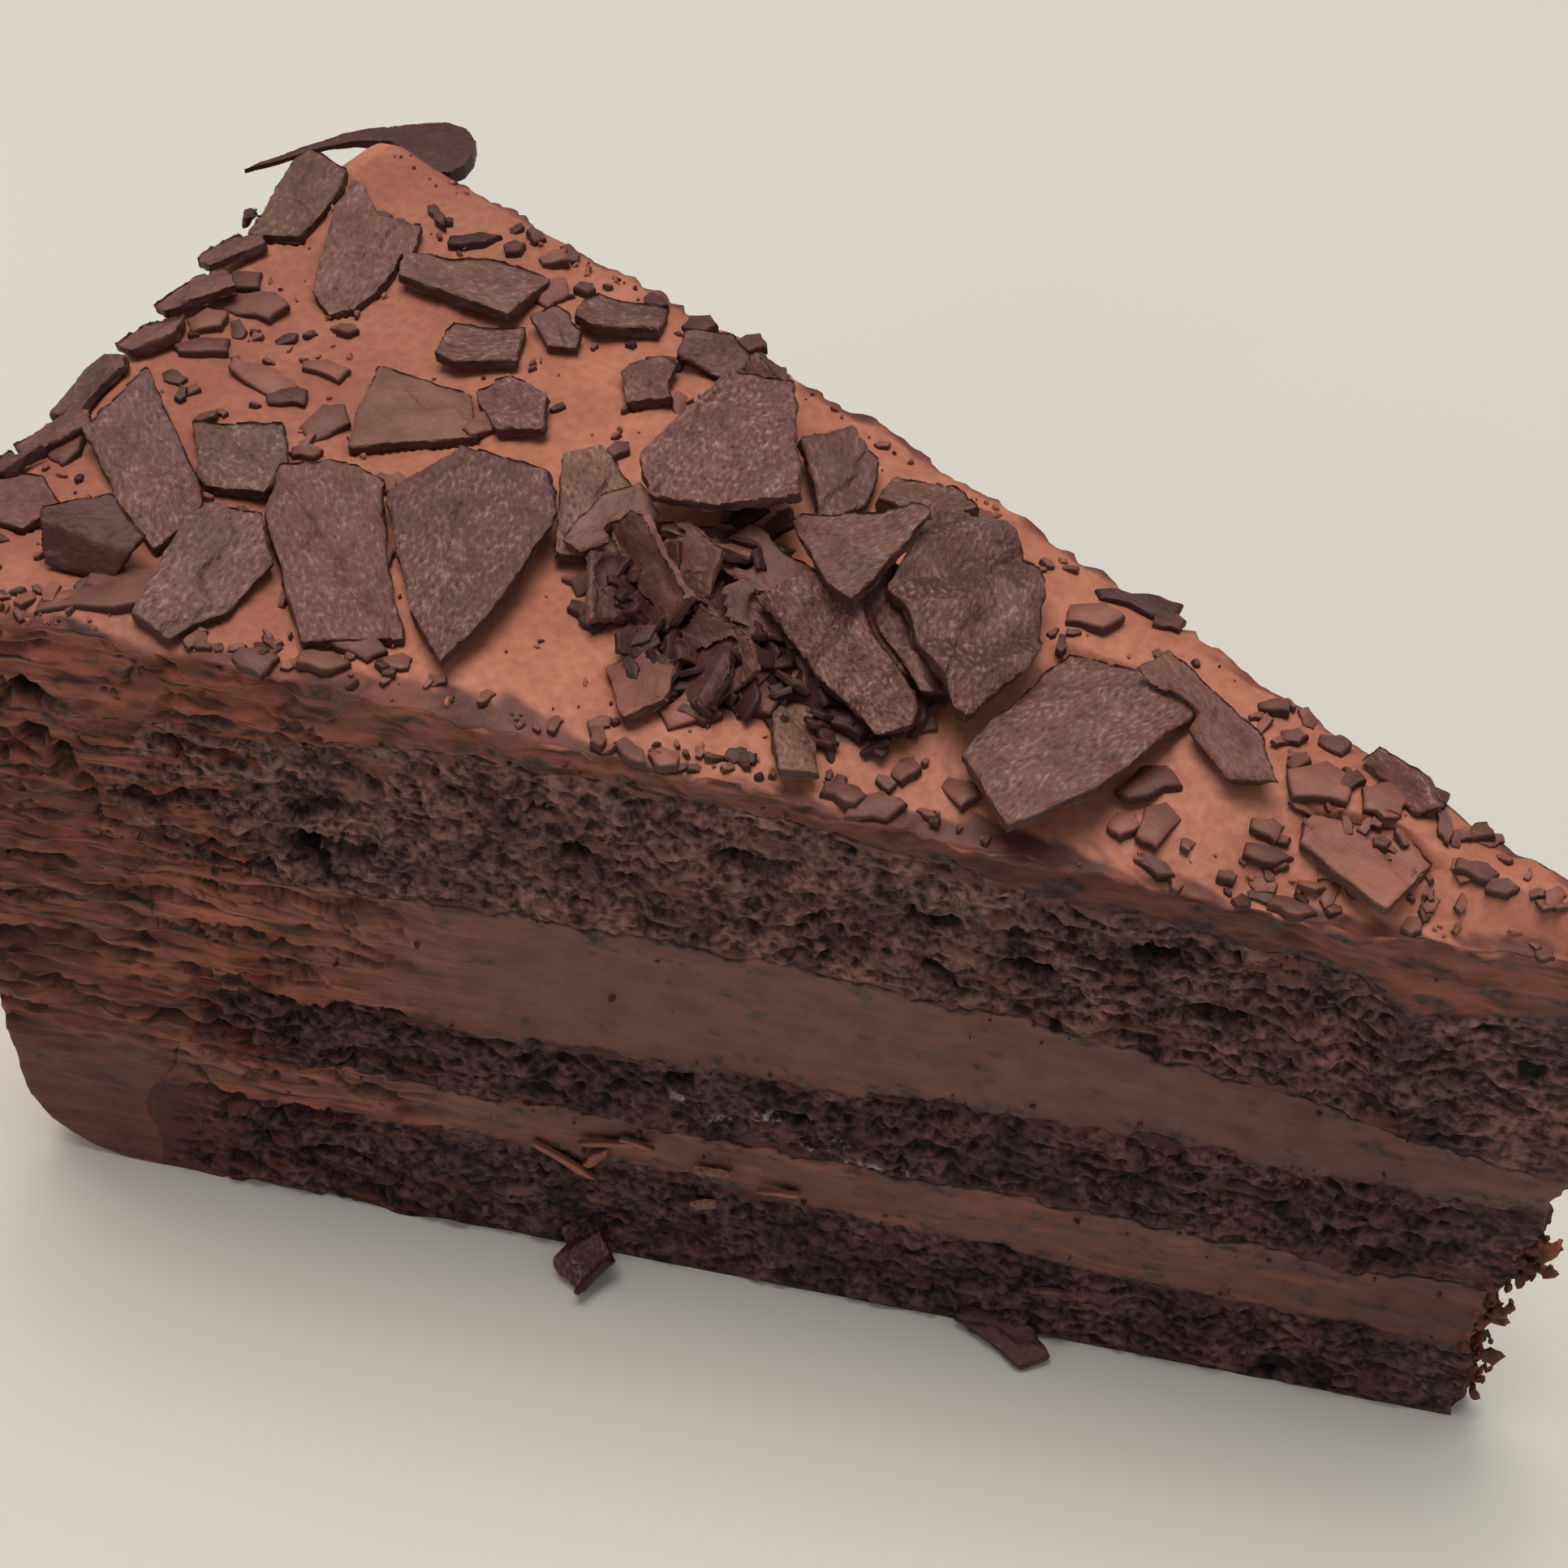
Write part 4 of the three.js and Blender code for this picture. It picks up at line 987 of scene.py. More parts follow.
shardLook = {
    "voxel": 0.255,
    "bend": 0.35, "bendHalf": 7.5, "twistArea": 56,  # rise of the ends of a 15 mm piece
    "thin": 0.85,
    "chips": ((2.6, 0.3), (0.9, 0.14)), "worn": 0.08,  # size and depth of the bites in the broken edges
    "faceGrain": ((4.0, 0.22), (1.6, 0.12), (0.7, 0.06)),
    "split": (0.32, 4.0, 2.5),  # height of a split across the top, and how it wavers
    "sharp": math.radians(38),
    "noiseStep": 31.0,  # each piece gets its own stretch of noise
    # tone from dark to light, how frosted, how much it takes the coat's colour, and how olive it is
    "kinds": {
        "shard_smooth": (0.8, 0.15, 0.3, 0.5), "shard_flat": (0.8, 0.1, 0.85, 0.3),
        "shard_side": (0.3, 0.4, 0.3, 0), "shard_heap_chip": (0.35, 0.15, 0.5, 0),
        "shard_strip": (0.4, 0.4, 0.3, 0.2), "shard_edge": (0.35, 0.3, 0.3, 0),
        "shard_dark": (0.1, 0.15, 0.1, 0), "shard_corner": (0, 0.1, 0.05, 0),
        "shard_stub": (0.85, 0.9, 0.1, 0.8), "shard_grain": (0.9, 1.0, 0.1, 1),
        "shard_front": (0.8, 0.9, 0, 0.4), "shard_broad": (0.85, 1.0, 0, 0.05),
        "shard_plank": (0.9, 0.9, 0, 0.2), "shard_fan": (0.6, 0.8, 0, 0),
        "shard_slab": (0.45, 0.7, 0.2, 0.3), "shard_block": (0.7, 0.8, 0, 1),
        "shard_long": (0.7, 0.8, 0.05, 0.3), "shard_heap_end": (0.6, 0.8, 0, 0.1),
        "shard_heap_top": (0.8, 0.7, 0, 0.2), "shard_heap_mid": (0.65, 0.7, 0, 0.1),
        "shard_heap_front": (0.8, 1.0, 0, 0.1), "shard_heap_inner": (0.3, 0.3, 0.3, 0),
        "shard_heap_under": (0.6, 0.3, 0.3, 0.9), "shard_heap_foot": (0.1, 0.2, 0.05, 0),
        "shard_rim": (0.55, 0.5, 0.05, 0.9), "shard_rim_low": (0.3, 0.4, 0.1, 0.9),
        "shard_rim_a": (0.6, 0.4, 0.1, 0), "shard_rim_b": (0.7, 0.4, 0.1, 0),
        "shard_rim_c": (0.6, 0.4, 0.25, 0.4), "shard_rim_d": (0.6, 0.4, 0.1, 0),
        "shard_rim_e": (0.2, 0.4, 0.1, 0), "shard_rim_f": (0.2, 0.3, 0, 0.2),
        "heap_blade_1": (0.3, 0.2, 0.15, 0), "heap_blade_2": (0.9, 0.3, 0.1, 0.4),
        "heap_blade_3": (0.3, 0.1, 0.2, 0), "foot_shard_a": (0, 0.7, 0, 0),
    },
    "darkOnes": ("heap_blade", "foot_shard"),
    "litEdged": "heap_blade",  # thin pieces that stand get a painted highlight along their edges
    "glossy": ("foot_shard_a", "shard_edge"),
    "curved": {"shard_corner": (0.3, 0.4)},  # droop of its ends, and how much thicker its right end is
    "peaked": {"shard_dark": 2.2},  # height of a ridge along the middle
    # height and spacing of creases across the piece
    "creased": {"shard_heap_end": (1.2, 6.0), "shard_heap_front": (1.2, 5.0), "shard_heap_mid": (0.8, 3.6),
                "shard_plank": (0.35, 6.0), "shard_front": (0.3, 5.0), "shard_heap_top": (0.5, 5.0),
                "foot_shard_a": (1.3, 3.4)},
    "creaseSway": (5.0, 2.2), "paintedFoldShades": (0.12, -0.2),  # one side of each crease painted lighter and the other darker, as light from one side would fall
}


def remeshed(node, voxel):  # a copy of a solid in even small faces, in millimetres
    mesh = nodes[node].data.copy()
    mesh.transform(Matrix.Scale(1 / mm, 4))
    holder = addObject("holder", mesh)
    remesh = holder.modifiers.new("voxels", "REMESH")
    remesh.mode = "VOXEL"
    remesh.voxel_size = voxel
    bpy.context.view_layer.update()
    fine = bpy.data.meshes.new_from_object(holder.evaluated_get(bpy.context.evaluated_depsgraph_get()))
    points, normals = np.empty((2, len(fine.vertices) * 3))
    fine.vertices.foreach_get("co", points)
    fine.vertex_normals.foreach_get("vector", normals)
    faces = [tuple(p.vertices) for p in fine.polygons]
    bpy.data.objects.remove(holder)
    for spare in (mesh, fine):
        bpy.data.meshes.remove(spare)
    return points.reshape(-1, 3), normals.reshape(-1, 3), faces


def shardKind(node, random):
    if node.startswith(shardLook["darkOnes"]):
        drawn = random.uniform(-0.1, 0.3), 0.25, random.uniform(0, 0.15), 0.0
    else:
        drawn = [random.uniform(*span) for span in ((0.5, 0.85), (0.5, 0.9), (0, 0.15), (0, 0.8))]
    return shardLook["kinds"].get(node, drawn)


def plateAxes(offsets):  # axes of a flat piece as columns: along, across and up through it
    axes = np.linalg.eigh(np.cov(offsets.T))[1][:, ::-1]
    axes[:, 2] *= 1 if axes[2, 2] >= 0 else -1
    axes[:, 0] *= 1 if axes[0, 0] >= 0 else -1  # its right end is towards the tip
    axes[:, 1] = np.cross(axes[:, 2], axes[:, 0])
    return axes


def creases(node, local, noisePlace):  # rise of the folds across a piece, and painted light and shade on their two sides
    rise, spacing = shardLook["creased"][node]
    size, sway = shardLook["creaseSway"]
    fold = (local[:, 0] + 0.5 * local[:, 1] + sway * lumps(noisePlace, size, 119)) / spacing % 1
    return rise * (2 * np.abs(fold - 0.5) - 0.5), rise * np.where(fold < 0.5, *shardLook["paintedFoldShades"])


def shardForm(node, local, facing, edge, noisePlace, random):  # broken points, and shades of its folds
    spec = shardLook
    along, across, _ = local.T
    length, width, _ = np.ptp(local, axis=0)
    bites = layered(noisePlace, spec["chips"], 110)
    grain = layered(noisePlace, spec["faceGrain"], 114)
    bow, twist = random.uniform(-1, 1, 2) * spec["bend"]
    thick, foldShade = spec["thin"], 0
    if node in spec["curved"]:  # this piece has clean edges
        droop, swell = spec["curved"][node]
        bites, bow = 0 * bites, -droop * (2 * spec["bendHalf"] / length) ** 2
        thick = lerp(0.5, 1 + swell, ease(along, -0.4 * length, 0.4 * length))
    moved = local.copy()
    moved[:, 2] *= thick
    moved += facing * (edge * (bites - spec["worn"]) + (1 - edge) * grain)[:, None]
    moved[:, 2] += bow * (along / spec["bendHalf"]) ** 2 + twist * along * across / spec["twistArea"]
    if node in spec["peaked"]:
        moved[:, 2] += spec["peaked"][node] * (0.5 - np.abs(across + 0.3 * along) / width)
    if node in spec["creased"]:
        rise, foldShade = creases(node, local, noisePlace)
        moved[:, 2] += rise
    heading, start = random.uniform(-0.6, 0.6), random.uniform(-0.25, 0.25) * width
    height, size, waver = spec["split"]
    over = across + heading * along - start + waver * lumps(noisePlace, size, 118)
    moved[:, 2] -= height * ease(over, 0, 0.3) * (facing[:, 2] > 0.3) * (node not in spec["curved"])
    return moved, foldShade


def makeShard(node, n):
    spec, random = shardLook, np.random.default_rng(200 + n)
    points, normals, faces = remeshed(node, spec["voxel"])
    middle = points.mean(0)
    axes = plateAxes(points - middle)
    local, facing = (points - middle) @ axes, normals @ axes
    edge = np.linalg.norm(facing[:, :2], axis=1)
    moved, foldShade = shardForm(node, local, facing, edge, local + (spec["noiseStep"] * n, 0, 0), random)
    place = Matrix.LocRotScale(Vector(middle * mm), Matrix(axes.tolist()).to_quaternion(), None)
    world = moved @ axes.T + middle
    world[:, 2] = np.maximum(world[:, 2], 0)
    shade, frost, warm, olive = shardKind(node, random)
    # painted highlight on the edges of thin standing pieces
    if node.startswith(spec["litEdged"]):
        shade, edge = shade + 0.9 * edge, 0.2 * edge
    # painted light and shade on the two sides of each fold
    marks = {"edge": edge, "tone": shade + foldShade, "frost": frost, "warm": warm, "olive": olive,
             "gloss": 1.0 if node in spec["glossy"] else 0.0}
    piece = makePiece(node + "_broken", (world - middle) @ axes, faces, look["shard"], marks,
                      place=place, replaced=[node])
    piece.data.set_sharp_from_angle(angle=spec["sharp"])
    return piece


footShards = ["foot_shard_a", "foot_shard_b"]
shards = [makeShard(node, n) for n, node in enumerate(shardNames + footShards)]
print("shards", len(shards), "pieces,", sum(len(piece.data.polygons) for piece in shards), "faces")


# Small flakes: those fused to the solid's coat, scraps in the heap, fine ones and shreds

flakeLook = {
    "outlines": (
        ((0.5, 0.34), (0.1, 0.5), (-0.5, 0.12), (-0.42, -0.3), (0.44, -0.5)),
        ((0.5, 0.1), (0.2, 0.5), (-0.46, 0.34), (-0.5, -0.3), (0.3, -0.5)),
        ((0.5, 0.0), (0.14, 0.5), (-0.46, 0.34), (-0.5, -0.3), (0.16, -0.5)),
    ),
    "thickness": 0.8, "lift": 0.3, "roll": (9, 1.7), "pitch": (8, 2.9), "seed": 11,
    # distance from the tip, angle, length, width, heading, shade from dark to the coat's colour
    "onTop": (
        (120.2, 4.7, 4.6, 2.2, 35, 0.2), (119.8, -5.8, 5.2, 2.4, -70, 0.3), (119, 2.5, 3.3, 2.6, 57, 0.7),
        (117.5, 1.1, 4.4, 2.2, 38, 0.35), (117.1, 4.2, 5.4, 3, 12, 0.55),
        (116.2, -5.9, 2.4, 1.4, -60, 0.3), (115.9, 10.8, 2, 1.3, -2, 0.25),
        (115.4, -1.7, 1.6, 0.9, -70, 0.1), (112.4, 12.3, 3.5, 1, -38, 0.15),
        (111.5, 0.7, 6, 2.4, -4, 0.8), (109.3, -13.1, 10.1, 2.8, 34, 0.5),
        (109.3, 4.9, 1.8, 1.2, 20, 0.4), (108.4, 0.1, 3.2, 1.8, 30, 0.2),
        (108.4, -12.1, 6.3, 2.4, 22, 0.4), (108.2, 12.2, 4.4, 1.6, 37, 0), (108, 2.4, 4, 1.8, 4, 0.75),
        (104.9, -7.3, 2.4, 1.7, 27, 0.15), (104.9, 12.8, 1.8, 1.6, 44, 0.2),
        (104.8, 14, 1.8, 1.3, -25, 0.25), (104.2, -0.4, 4, 2.8, 70, 0.5),
        (103.6, -2.4, 2.4, 1.4, 40, 0.45), (101.7, 13.4, 2.4, 2, 40, 0.7),
        (101.3, 14.2, 2.1, 1.3, -34, 0.2), (98.9, 11.6, 3.4, 2.6, 84, 0.6),
        (97.7, -14.4, 3.1, 2.7, 1, 0.35), (97.2, 12.7, 1.7, 1.5, 5, 0.2),
        (96.6, -2.8, 2.6, 1.5, -20, 0.6), (93.9, 2.6, 3, 2.2, 60, 0.55),
        (93.8, -6.7, 4.2, 2.2, -41, 0.45), (92.9, -13.9, 3.8, 2, 24, 0.5),
        (92.1, 14.2, 2.3, 1.8, -34, 0.1), (91.4, -12.4, 4.6, 2.4, 6, 0.45),
        (87.4, 14.3, 2.8, 2.4, 10, 0.1), (86.6, 10.9, 3, 1.4, 20, 0.15), (84.2, 13, 3, 2.6, 3, 0.2),
        (83.4, 4.3, 2.1, 1.5, 77, 0.3), (83.3, 14.8, 2.8, 2.4, 47, 0.15), (80.7, 12.5, 2.3, 2, 55, 0.1),
        (79.4, 13.9, 3.2, 2.2, -4, 0.15), (77.9, -6.4, 2.9, 2, -5, 0.05),
        (77.9, 12.5, 2.2, 1.8, -2, 0.25), (77.5, -4.4, 2.9, 2.2, -29, 0.05),
        (73.5, -7.1, 3, 2.2, -23, 0.05), (73.4, -14.1, 2.5, 1.2, -58, 0.35),
        (70.9, -14.5, 2.8, 1.4, -17, 0.4), (70.4, -7.3, 2.9, 2.4, -23, 0), (70.3, -9.8, 2.3, 2, 6, 0.1),
        (68.6, -14.3, 2.3, 2, -16, 1), (68.4, -5.3, 2.8, 2.2, -21, 0.1), (68.3, -10.9, 3.8, 2.6, 58, 0.9),
        (67.3, -10.7, 3.2, 2.2, 14, 0.25), (65.9, -6.6, 3, 2.2, -39, 0.1),
        (63.9, -8.6, 3.6, 2.6, -44, 0.3), (61.1, -4.5, 4.1, 2.6, -4, 0), (57.9, -8.1, 4.4, 2.6, -1, 0),
        (56.3, -13.6, 3.2, 1.8, 15, 0.35), (54, -13.9, 4.4, 2.4, 28, 0.45),
        (53.8, -11.9, 1.5, 1.1, -9, 0.35), (52.7, -10.4, 2.2, 1.7, 77, 0.4),
        (52.3, 9.8, 3, 1.2, -50, 0.3), (48.8, -10.7, 2.8, 2.2, -21, 0.6), (46.9, 5.4, 1.8, 0.8, -70, 0.1),
        (46.4, 10, 4.2, 3, 20, 0.85), (45.1, 14.2, 6.4, 1.8, 14, 0.05), (42.3, 14.2, 2.4, 1.5, 20, 0.2),
        (37.5, -9.4, 2.4, 2, 73, 0.9), (37, -4.6, 4.6, 3, 53, 0.3), (35.4, -8.4, 3.8, 2.6, 89, 0.6),
        (34.8, -12.8, 3, 1.3, -2, 0.2), (32.2, 11.8, 2.3, 1.4, 22, 0.3), (30, -12.1, 1.4, 1, 22, 0.4),
        (29.7, 9.3, 2, 1.3, 23, 0.4), (28.4, -5, 2.3, 1.9, 4, 0.6), (28.3, 5.7, 1.8, 1.3, 69, 0.4),
        (27.7, -8.1, 3.5, 1.6, 18, 0.35), (27.4, 12.2, 2.3, 1.6, -5, 0.25), (26.2, 3.6, 4.6, 4, 34, 0.85),
        (25.3, -14, 3.4, 1.6, 6, 0.35), (24.6, 6.5, 2, 1.3, 65, 0.2), (22, 6.5, 3.2, 2.8, 29, 0.8),
        (20.8, -1.3, 1.3, 1.1, 27, 0.3), (19.7, 13.6, 2.2, 1.3, 10, 0.15),
        (18.6, -4.3, 2.2, 1.2, -60, 0.45), (17.6, 7.2, 2.8, 1.1, -58, 0.4),
        (15.8, 12.7, 2, 1.7, 46, 0.35), (14.4, 0.9, 3.1, 1.6, 12, 0.3), (12.4, -0.8, 2.3, 1.4, 15, 0.3),
    ),
    # shreds on the front face: distance from the tip, height, length, width, turn, shade
    "onFront": (
        (78.3, 13.2, 6.4, 1.8, -38, 1.0), (74.4, 16.8, 5.2, 1.4, 16, 0.9), (75.4, 14.6, 4.0, 1.1, 58, 1.0),
        (65.8, 15.5, 3.4, 1.3, 5, 1.7), (66.6, 10.6, 2.4, 1.5, 30, 1.2), (38.5, 7.5, 3.0, 1.0, 12, 0.3),
        (72.0, 17.6, 3.0, 1.0, -12, 0.9), (60.5, 14.4, 3.6, 1.0, 8, 1.1),
    ),
    "frontTilt": 18, "frontLift": 0.35, "paleFrom": 1.1,  # shreds with a shade past this are pale
    # fine flakes: how many, share of the top's area, half the angle, angles along the front edge
    "fineCount": 340, "fineArea": (0.004, 0.955), "fineAngle": 14.3, "fineEdge": (-14.6, -12.5),
    "fineLength": (0.7, 2.2), "fineThickness": 0.45, "fineLift": 0.15, "fineTilt": 25,
    "fineShade": (0, 0.9), "slimness": (0.4, 0.75),
    "bare": ((79.5, -9.8, 5.2), (104, 3.5, 6), (48, -10, 3)),  # distance, angle, reach
    # dark scraps piled in the heap: how many at each spot, its distance and angle, reach, height
    "scraps": (
        (26, 76, -3, 4.0, 1.6), (26, 72, -6.5, 4.2, 1.4), (20, 66, -8.5, 3.6, 1.0), (26, 65, -3, 4.6, 2.0),
        (16, 60, -8, 3.4, 1.0), (16, 70, 1.5, 3.4, 1.8), (14, 55, -7, 3.0, 0.8), (18, 74.5, -5.8, 2.8, 1.4),
        (14, 70.5, -8, 2.6, 1.0),
    ),
    "scrapLength": (1.6, 4.4), "scrapTilt": 50, "scrapShade": (-0.35, 0.25),
    # reddish flecks near the tip: how many, distance and angle of the spot, reach
    "flecks": ((34, 23, -8, 7.0), (16, 13, -3, 5.0), (18, 27, 7, 6.0)),
    "fleckAngle": 14.5, "fleckShade": (0.4, 0.95),
    # rings of a flake from its underside up: height and spread, and the painted shade on its sides
    "rings": ((-0.5, 0.97), (0.1, 1.0), (0.36, 0.96), (0.5, 0.84)), "rimShades": (1.0, 1.0, 0.7, 0.7),
    "sideSteps": (0, 0.35, 0.7), "nibble": 0.08,
    "sharp": math.radians(48),
}


def flakePlate(outline, length, width, thickness, random):
    spec = flakeLook
    corners = np.array(outline) * (length, width)
    ring = []
    for start, end in zip(corners, np.roll(corners, -1, axis=0)):
        side = np.array([end[1] - start[1], start[0] - end[0]])
        for t in spec["sideSteps"]:
            nibbled = random.uniform(-spec["nibble"], spec["nibble"]) * (t > 0)
            ring.append(lerp(start, end, t) + side * nibbled)
    ring = np.array(ring)
    count = len(ring)
    points = np.concatenate([np.column_stack([ring * wide, np.full(count, high * thickness)])
                             for high, wide in spec["rings"]])
    around = np.roll(np.arange(count), -1)
    faces = []
    for a in range(0, len(points) - count, count):
        b = a + count
        faces += [(a + m, b + m, b + around[m], a + around[m]) for m in range(count)]
    faces += [tuple(range(count)), tuple(reversed(range(len(points) - count, len(points))))]
    clockwise = np.sum(ring[:, 0] * np.roll(ring[:, 1], -1) - ring[:, 1] * np.roll(ring[:, 0], -1)) < 0
    if not clockwise:
        faces = [tuple(reversed(face)) for face in faces]
    return points, faces, count


def isBare(radius, angle):
    spot = polar(radius, math.radians(angle), 0)
    return any(np.linalg.norm(spot - polar(r, math.radians(a), 0)) < reach
               for r, a, reach in flakeLook["bare"])


def underShard(x, y):  # is this spot of the top covered?
    return shardTree.ray_cast(Vector((x * mm, y * mm, 0.1)), Vector((0, 0, -1)))[0] is not None


def topPose(radius, angle, lift, heading, roll, pitch):  # turn and place of a flake lying on the coat
    flat = math.radians(angle)
    ground = coatTop(np.array([radius]), np.array([flat]))[0]
    edge = rimEdge(flat)
    overRim = max(radius - cake["radius"] + edge, 0)
    ground -= edge - math.sqrt(max(edge ** 2 - overRim ** 2, 0))
    turn = Euler([math.radians(a) for a in (roll, pitch, heading)], "XYZ").to_matrix()
    return np.array(turn), polar(radius, flat, ground + lift)


def frontPose(radius, height, turned):  # turn and place of a flake on the front face
    half = cake["halfAngle"]
    along = Vector((math.cos(half), math.sin(half), 0))
    out = Vector((math.sin(half), -math.cos(half), 0))
    turn = Matrix((along, out.cross(along), out)).transposed()
    for degrees, axis in ((turned, "Z"), (flakeLook["frontTilt"], "X")):
        turn = turn @ Matrix.Rotation(math.radians(degrees), 3, axis)
    return np.array(turn), polar(radius, -half, height) + flakeLook["frontLift"] * np.array(out)


def spotNear(random, radius, angle, reach):  # a spot of the top within reach of this one
    away, turn = reach * math.sqrt(random.uniform(0, 1)), random.uniform(0, 2 * math.pi)
    return radius + away * math.cos(turn), angle + math.degrees(away * math.sin(turn) / radius)


def drawnFlake(random, lengths, power, tilt):  # length, width and turns: more small ones for more power
    length = lerp(*lengths, random.uniform(0, 1) ** power)
    width = length * random.uniform(*flakeLook["slimness"])
    return length, width, [random.uniform(0, 360), *random.uniform(-tilt, tilt, 2)]


def drawnKind(random, shades):  # number of the outline, and shade
    return int(random.integers(len(flakeLook["outlines"]))), random.uniform(*shades)


def placedFlakes(random):  # those fused to the solid's coat, and the shreds of the front face
    spec = flakeLook
    kinds = len(spec["outlines"])
    for n, (radius, angle, length, width, heading, shade) in enumerate(spec["onTop"]):
        roll, pitch = (size * math.sin(step * n) for size, step in (spec["roll"], spec["pitch"]))
        pose = topPose(radius, angle, spec["lift"], heading, roll, pitch)
        yield n % kinds, length, width, spec["thickness"], pose, shade
    for radius, height, length, width, turned, shade in spec["onFront"]:
        pose = frontPose(radius, height, turned)
        yield int(random.integers(kinds)), length, width, spec["fineThickness"], pose, shade


def heapScraps(random):
    spec = flakeLook
    for count, *place, high in spec["scraps"]:
        for _ in range(count):
            spot = spotNear(random, *place)
            length, width, turns = drawnFlake(random, spec["scrapLength"], 1.5, spec["scrapTilt"])
            lift = spec["fineLift"] + high * random.uniform(0, 1)
            kind, shade = drawnKind(random, spec["scrapShade"])
            if not isBare(*spot):
                yield kind, length, width, spec["fineThickness"], topPose(*spot, lift, *turns), shade


def fineFlakes(random):
    spec = flakeLook
    for n in range(spec["fineCount"]):
        radius = cake["radius"] * math.sqrt(random.uniform(*spec["fineArea"]))
        angle = random.uniform(-spec["fineAngle"], spec["fineAngle"])
        if n % 3 == 0:  # more along the front edge
            angle = random.uniform(*spec["fineEdge"])
        length, width, turns = drawnFlake(random, spec["fineLength"], 1.6, spec["fineTilt"])
        kind, shade = drawnKind(random, spec["fineShade"])
        x, y, _ = polar(radius, math.radians(angle), 0)
        if not isBare(radius, angle) and not underShard(x, y):
            pose = topPose(radius, angle, spec["fineLift"], *turns)
            yield kind, length, width, spec["fineThickness"], pose, shade


def tipFlecks(random):
    spec = flakeLook
    for count, *place in spec["flecks"]:
        for _ in range(count):
            spot = spotNear(random, *place)
            length, width, turns = drawnFlake(random, spec["fineLength"], 1, spec["fineTilt"])
            kind, shade = drawnKind(random, spec["fleckShade"])
            if abs(spot[1]) < spec["fleckAngle"]:
                pose = topPose(*spot, spec["fineLift"], *turns)
                yield kind, length, width, spec["fineThickness"], pose, shade


def makeFlakes():
    spec = flakeLook
    placing, shaping = (np.random.default_rng(spec["seed"]) for _ in range(2))
    sources = (placedFlakes, heapScraps, fineFlakes, tipFlecks)
    points, faces, shades, edges = [], [], [], []
    total = 0
    flakes = itertools.chain(*(source(placing) for source in sources))
    for kind, length, width, thickness, (turn, spot), shade in flakes:
        plate, sides, count = flakePlate(spec["outlines"][kind], length, width, thickness, shaping)
        points.append(plate @ turn.T + spot)
        faces += [tuple(total + m for m in side) for side in sides]
        total += len(plate)
        shades.append(np.full(len(plate), shade))
        # painted shade on a flake's sides, and on the top of the darkest scraps in the hollow of the heap
        *rimShades, topShade = spec["rimShades"]
        edges.append(np.repeat((*rimShades, topShade * (shade < 0)), count))
    shades = np.concatenate(shades)
    pale = shades > spec["paleFrom"]
    marks = {"tone": np.where(pale, 1, shades * 0.7), "warm": np.where(pale, 0.4, shades * 0.85),
             "frost": np.where(pale, 1, 0.2 * (1 - shades)), "olive": np.where(pale, 1, 0.3),
             "edge": np.where(pale, 0, np.concatenate(edges)), "gloss": 0.0}
    piece = makePiece("small_flakes", np.concatenate(points), faces, look["shard"], marks)
    piece.data.set_sharp_from_angle(angle=spec["sharp"])
    return piece


piece = makeFlakes()
print("flakes", len(piece.data.polygons), "faces")


# Crumbs and bits

crumbLook = {
    "topBits": 220, "topSize": (0.25, 0.9), "topArea": (0.003, 0.95), "topAngle": 14, "topLift": 0.1,
    "edgeBits": 130, "edgeReach": (0.5, 2.2),  # along the front and back edges of the top
    "faceCrumbs": 380, "faceSize": (0.2, 0.7), "faceFrom": (6, 104),
    "faceSpread": 0.8, "nearShare": 0.7, "farTimes": 4,  # most lie close to where two layers meet
    "faceLimits": (0.4, 1.5), "faceLift": 0.1, "faceShade": (0, 0.35),
    "tipCrumbs": 120, "tipSize": (0.6, 2.0), "tipHeight": (3, 26), "tipOut": (-0.8, 1.0),
    # tip crumbs lean to the light tone: painted light shining through them
    "tipClumps": (3.0, 1.4), "tipShade": (0.1, 0.9),
    "knobs": (2.2, 0.8), "stretch": ((0.7, 0.5, 0.3), (1.3, 0.9, 0.6)),
    "seed": 31,
}


def crumbForm():  # points and faces of one round crumb
    ball = bmesh.new()
    bmesh.ops.create_icosphere(ball, subdivisions=2, radius=0.5)
    points = np.array([v.co for v in ball.verts])
    faces = np.array([[v.index for v in f.verts] for f in ball.faces])
    ball.free()
    return points, faces


ballPoints, ballFaces = crumbForm()


def scatter(name, spots, sizes, shades, material, random):
    points, faces, tones = [], [], []
    fineness, depth = crumbLook["knobs"]
    for n, (spot, size, shade) in enumerate(zip(spots, sizes, shades)):
        form = ballPoints * (1 + depth * lumps(ballPoints * fineness + 7.0 * n, 1.0, 130))[:, None]
        turn = np.array(Euler(random.uniform(0, 6.28, 3)).to_matrix())
        form = (form * random.uniform(*crumbLook["stretch"])) @ turn.T
        points.append(form * size + spot)
        faces.append(ballFaces + n * len(ballPoints))
        tones.append(np.full(len(form), shade))
    return makePiece(name, np.concatenate(points), np.concatenate(faces).tolist(), material,
                     {"tone": np.concatenate(tones)})


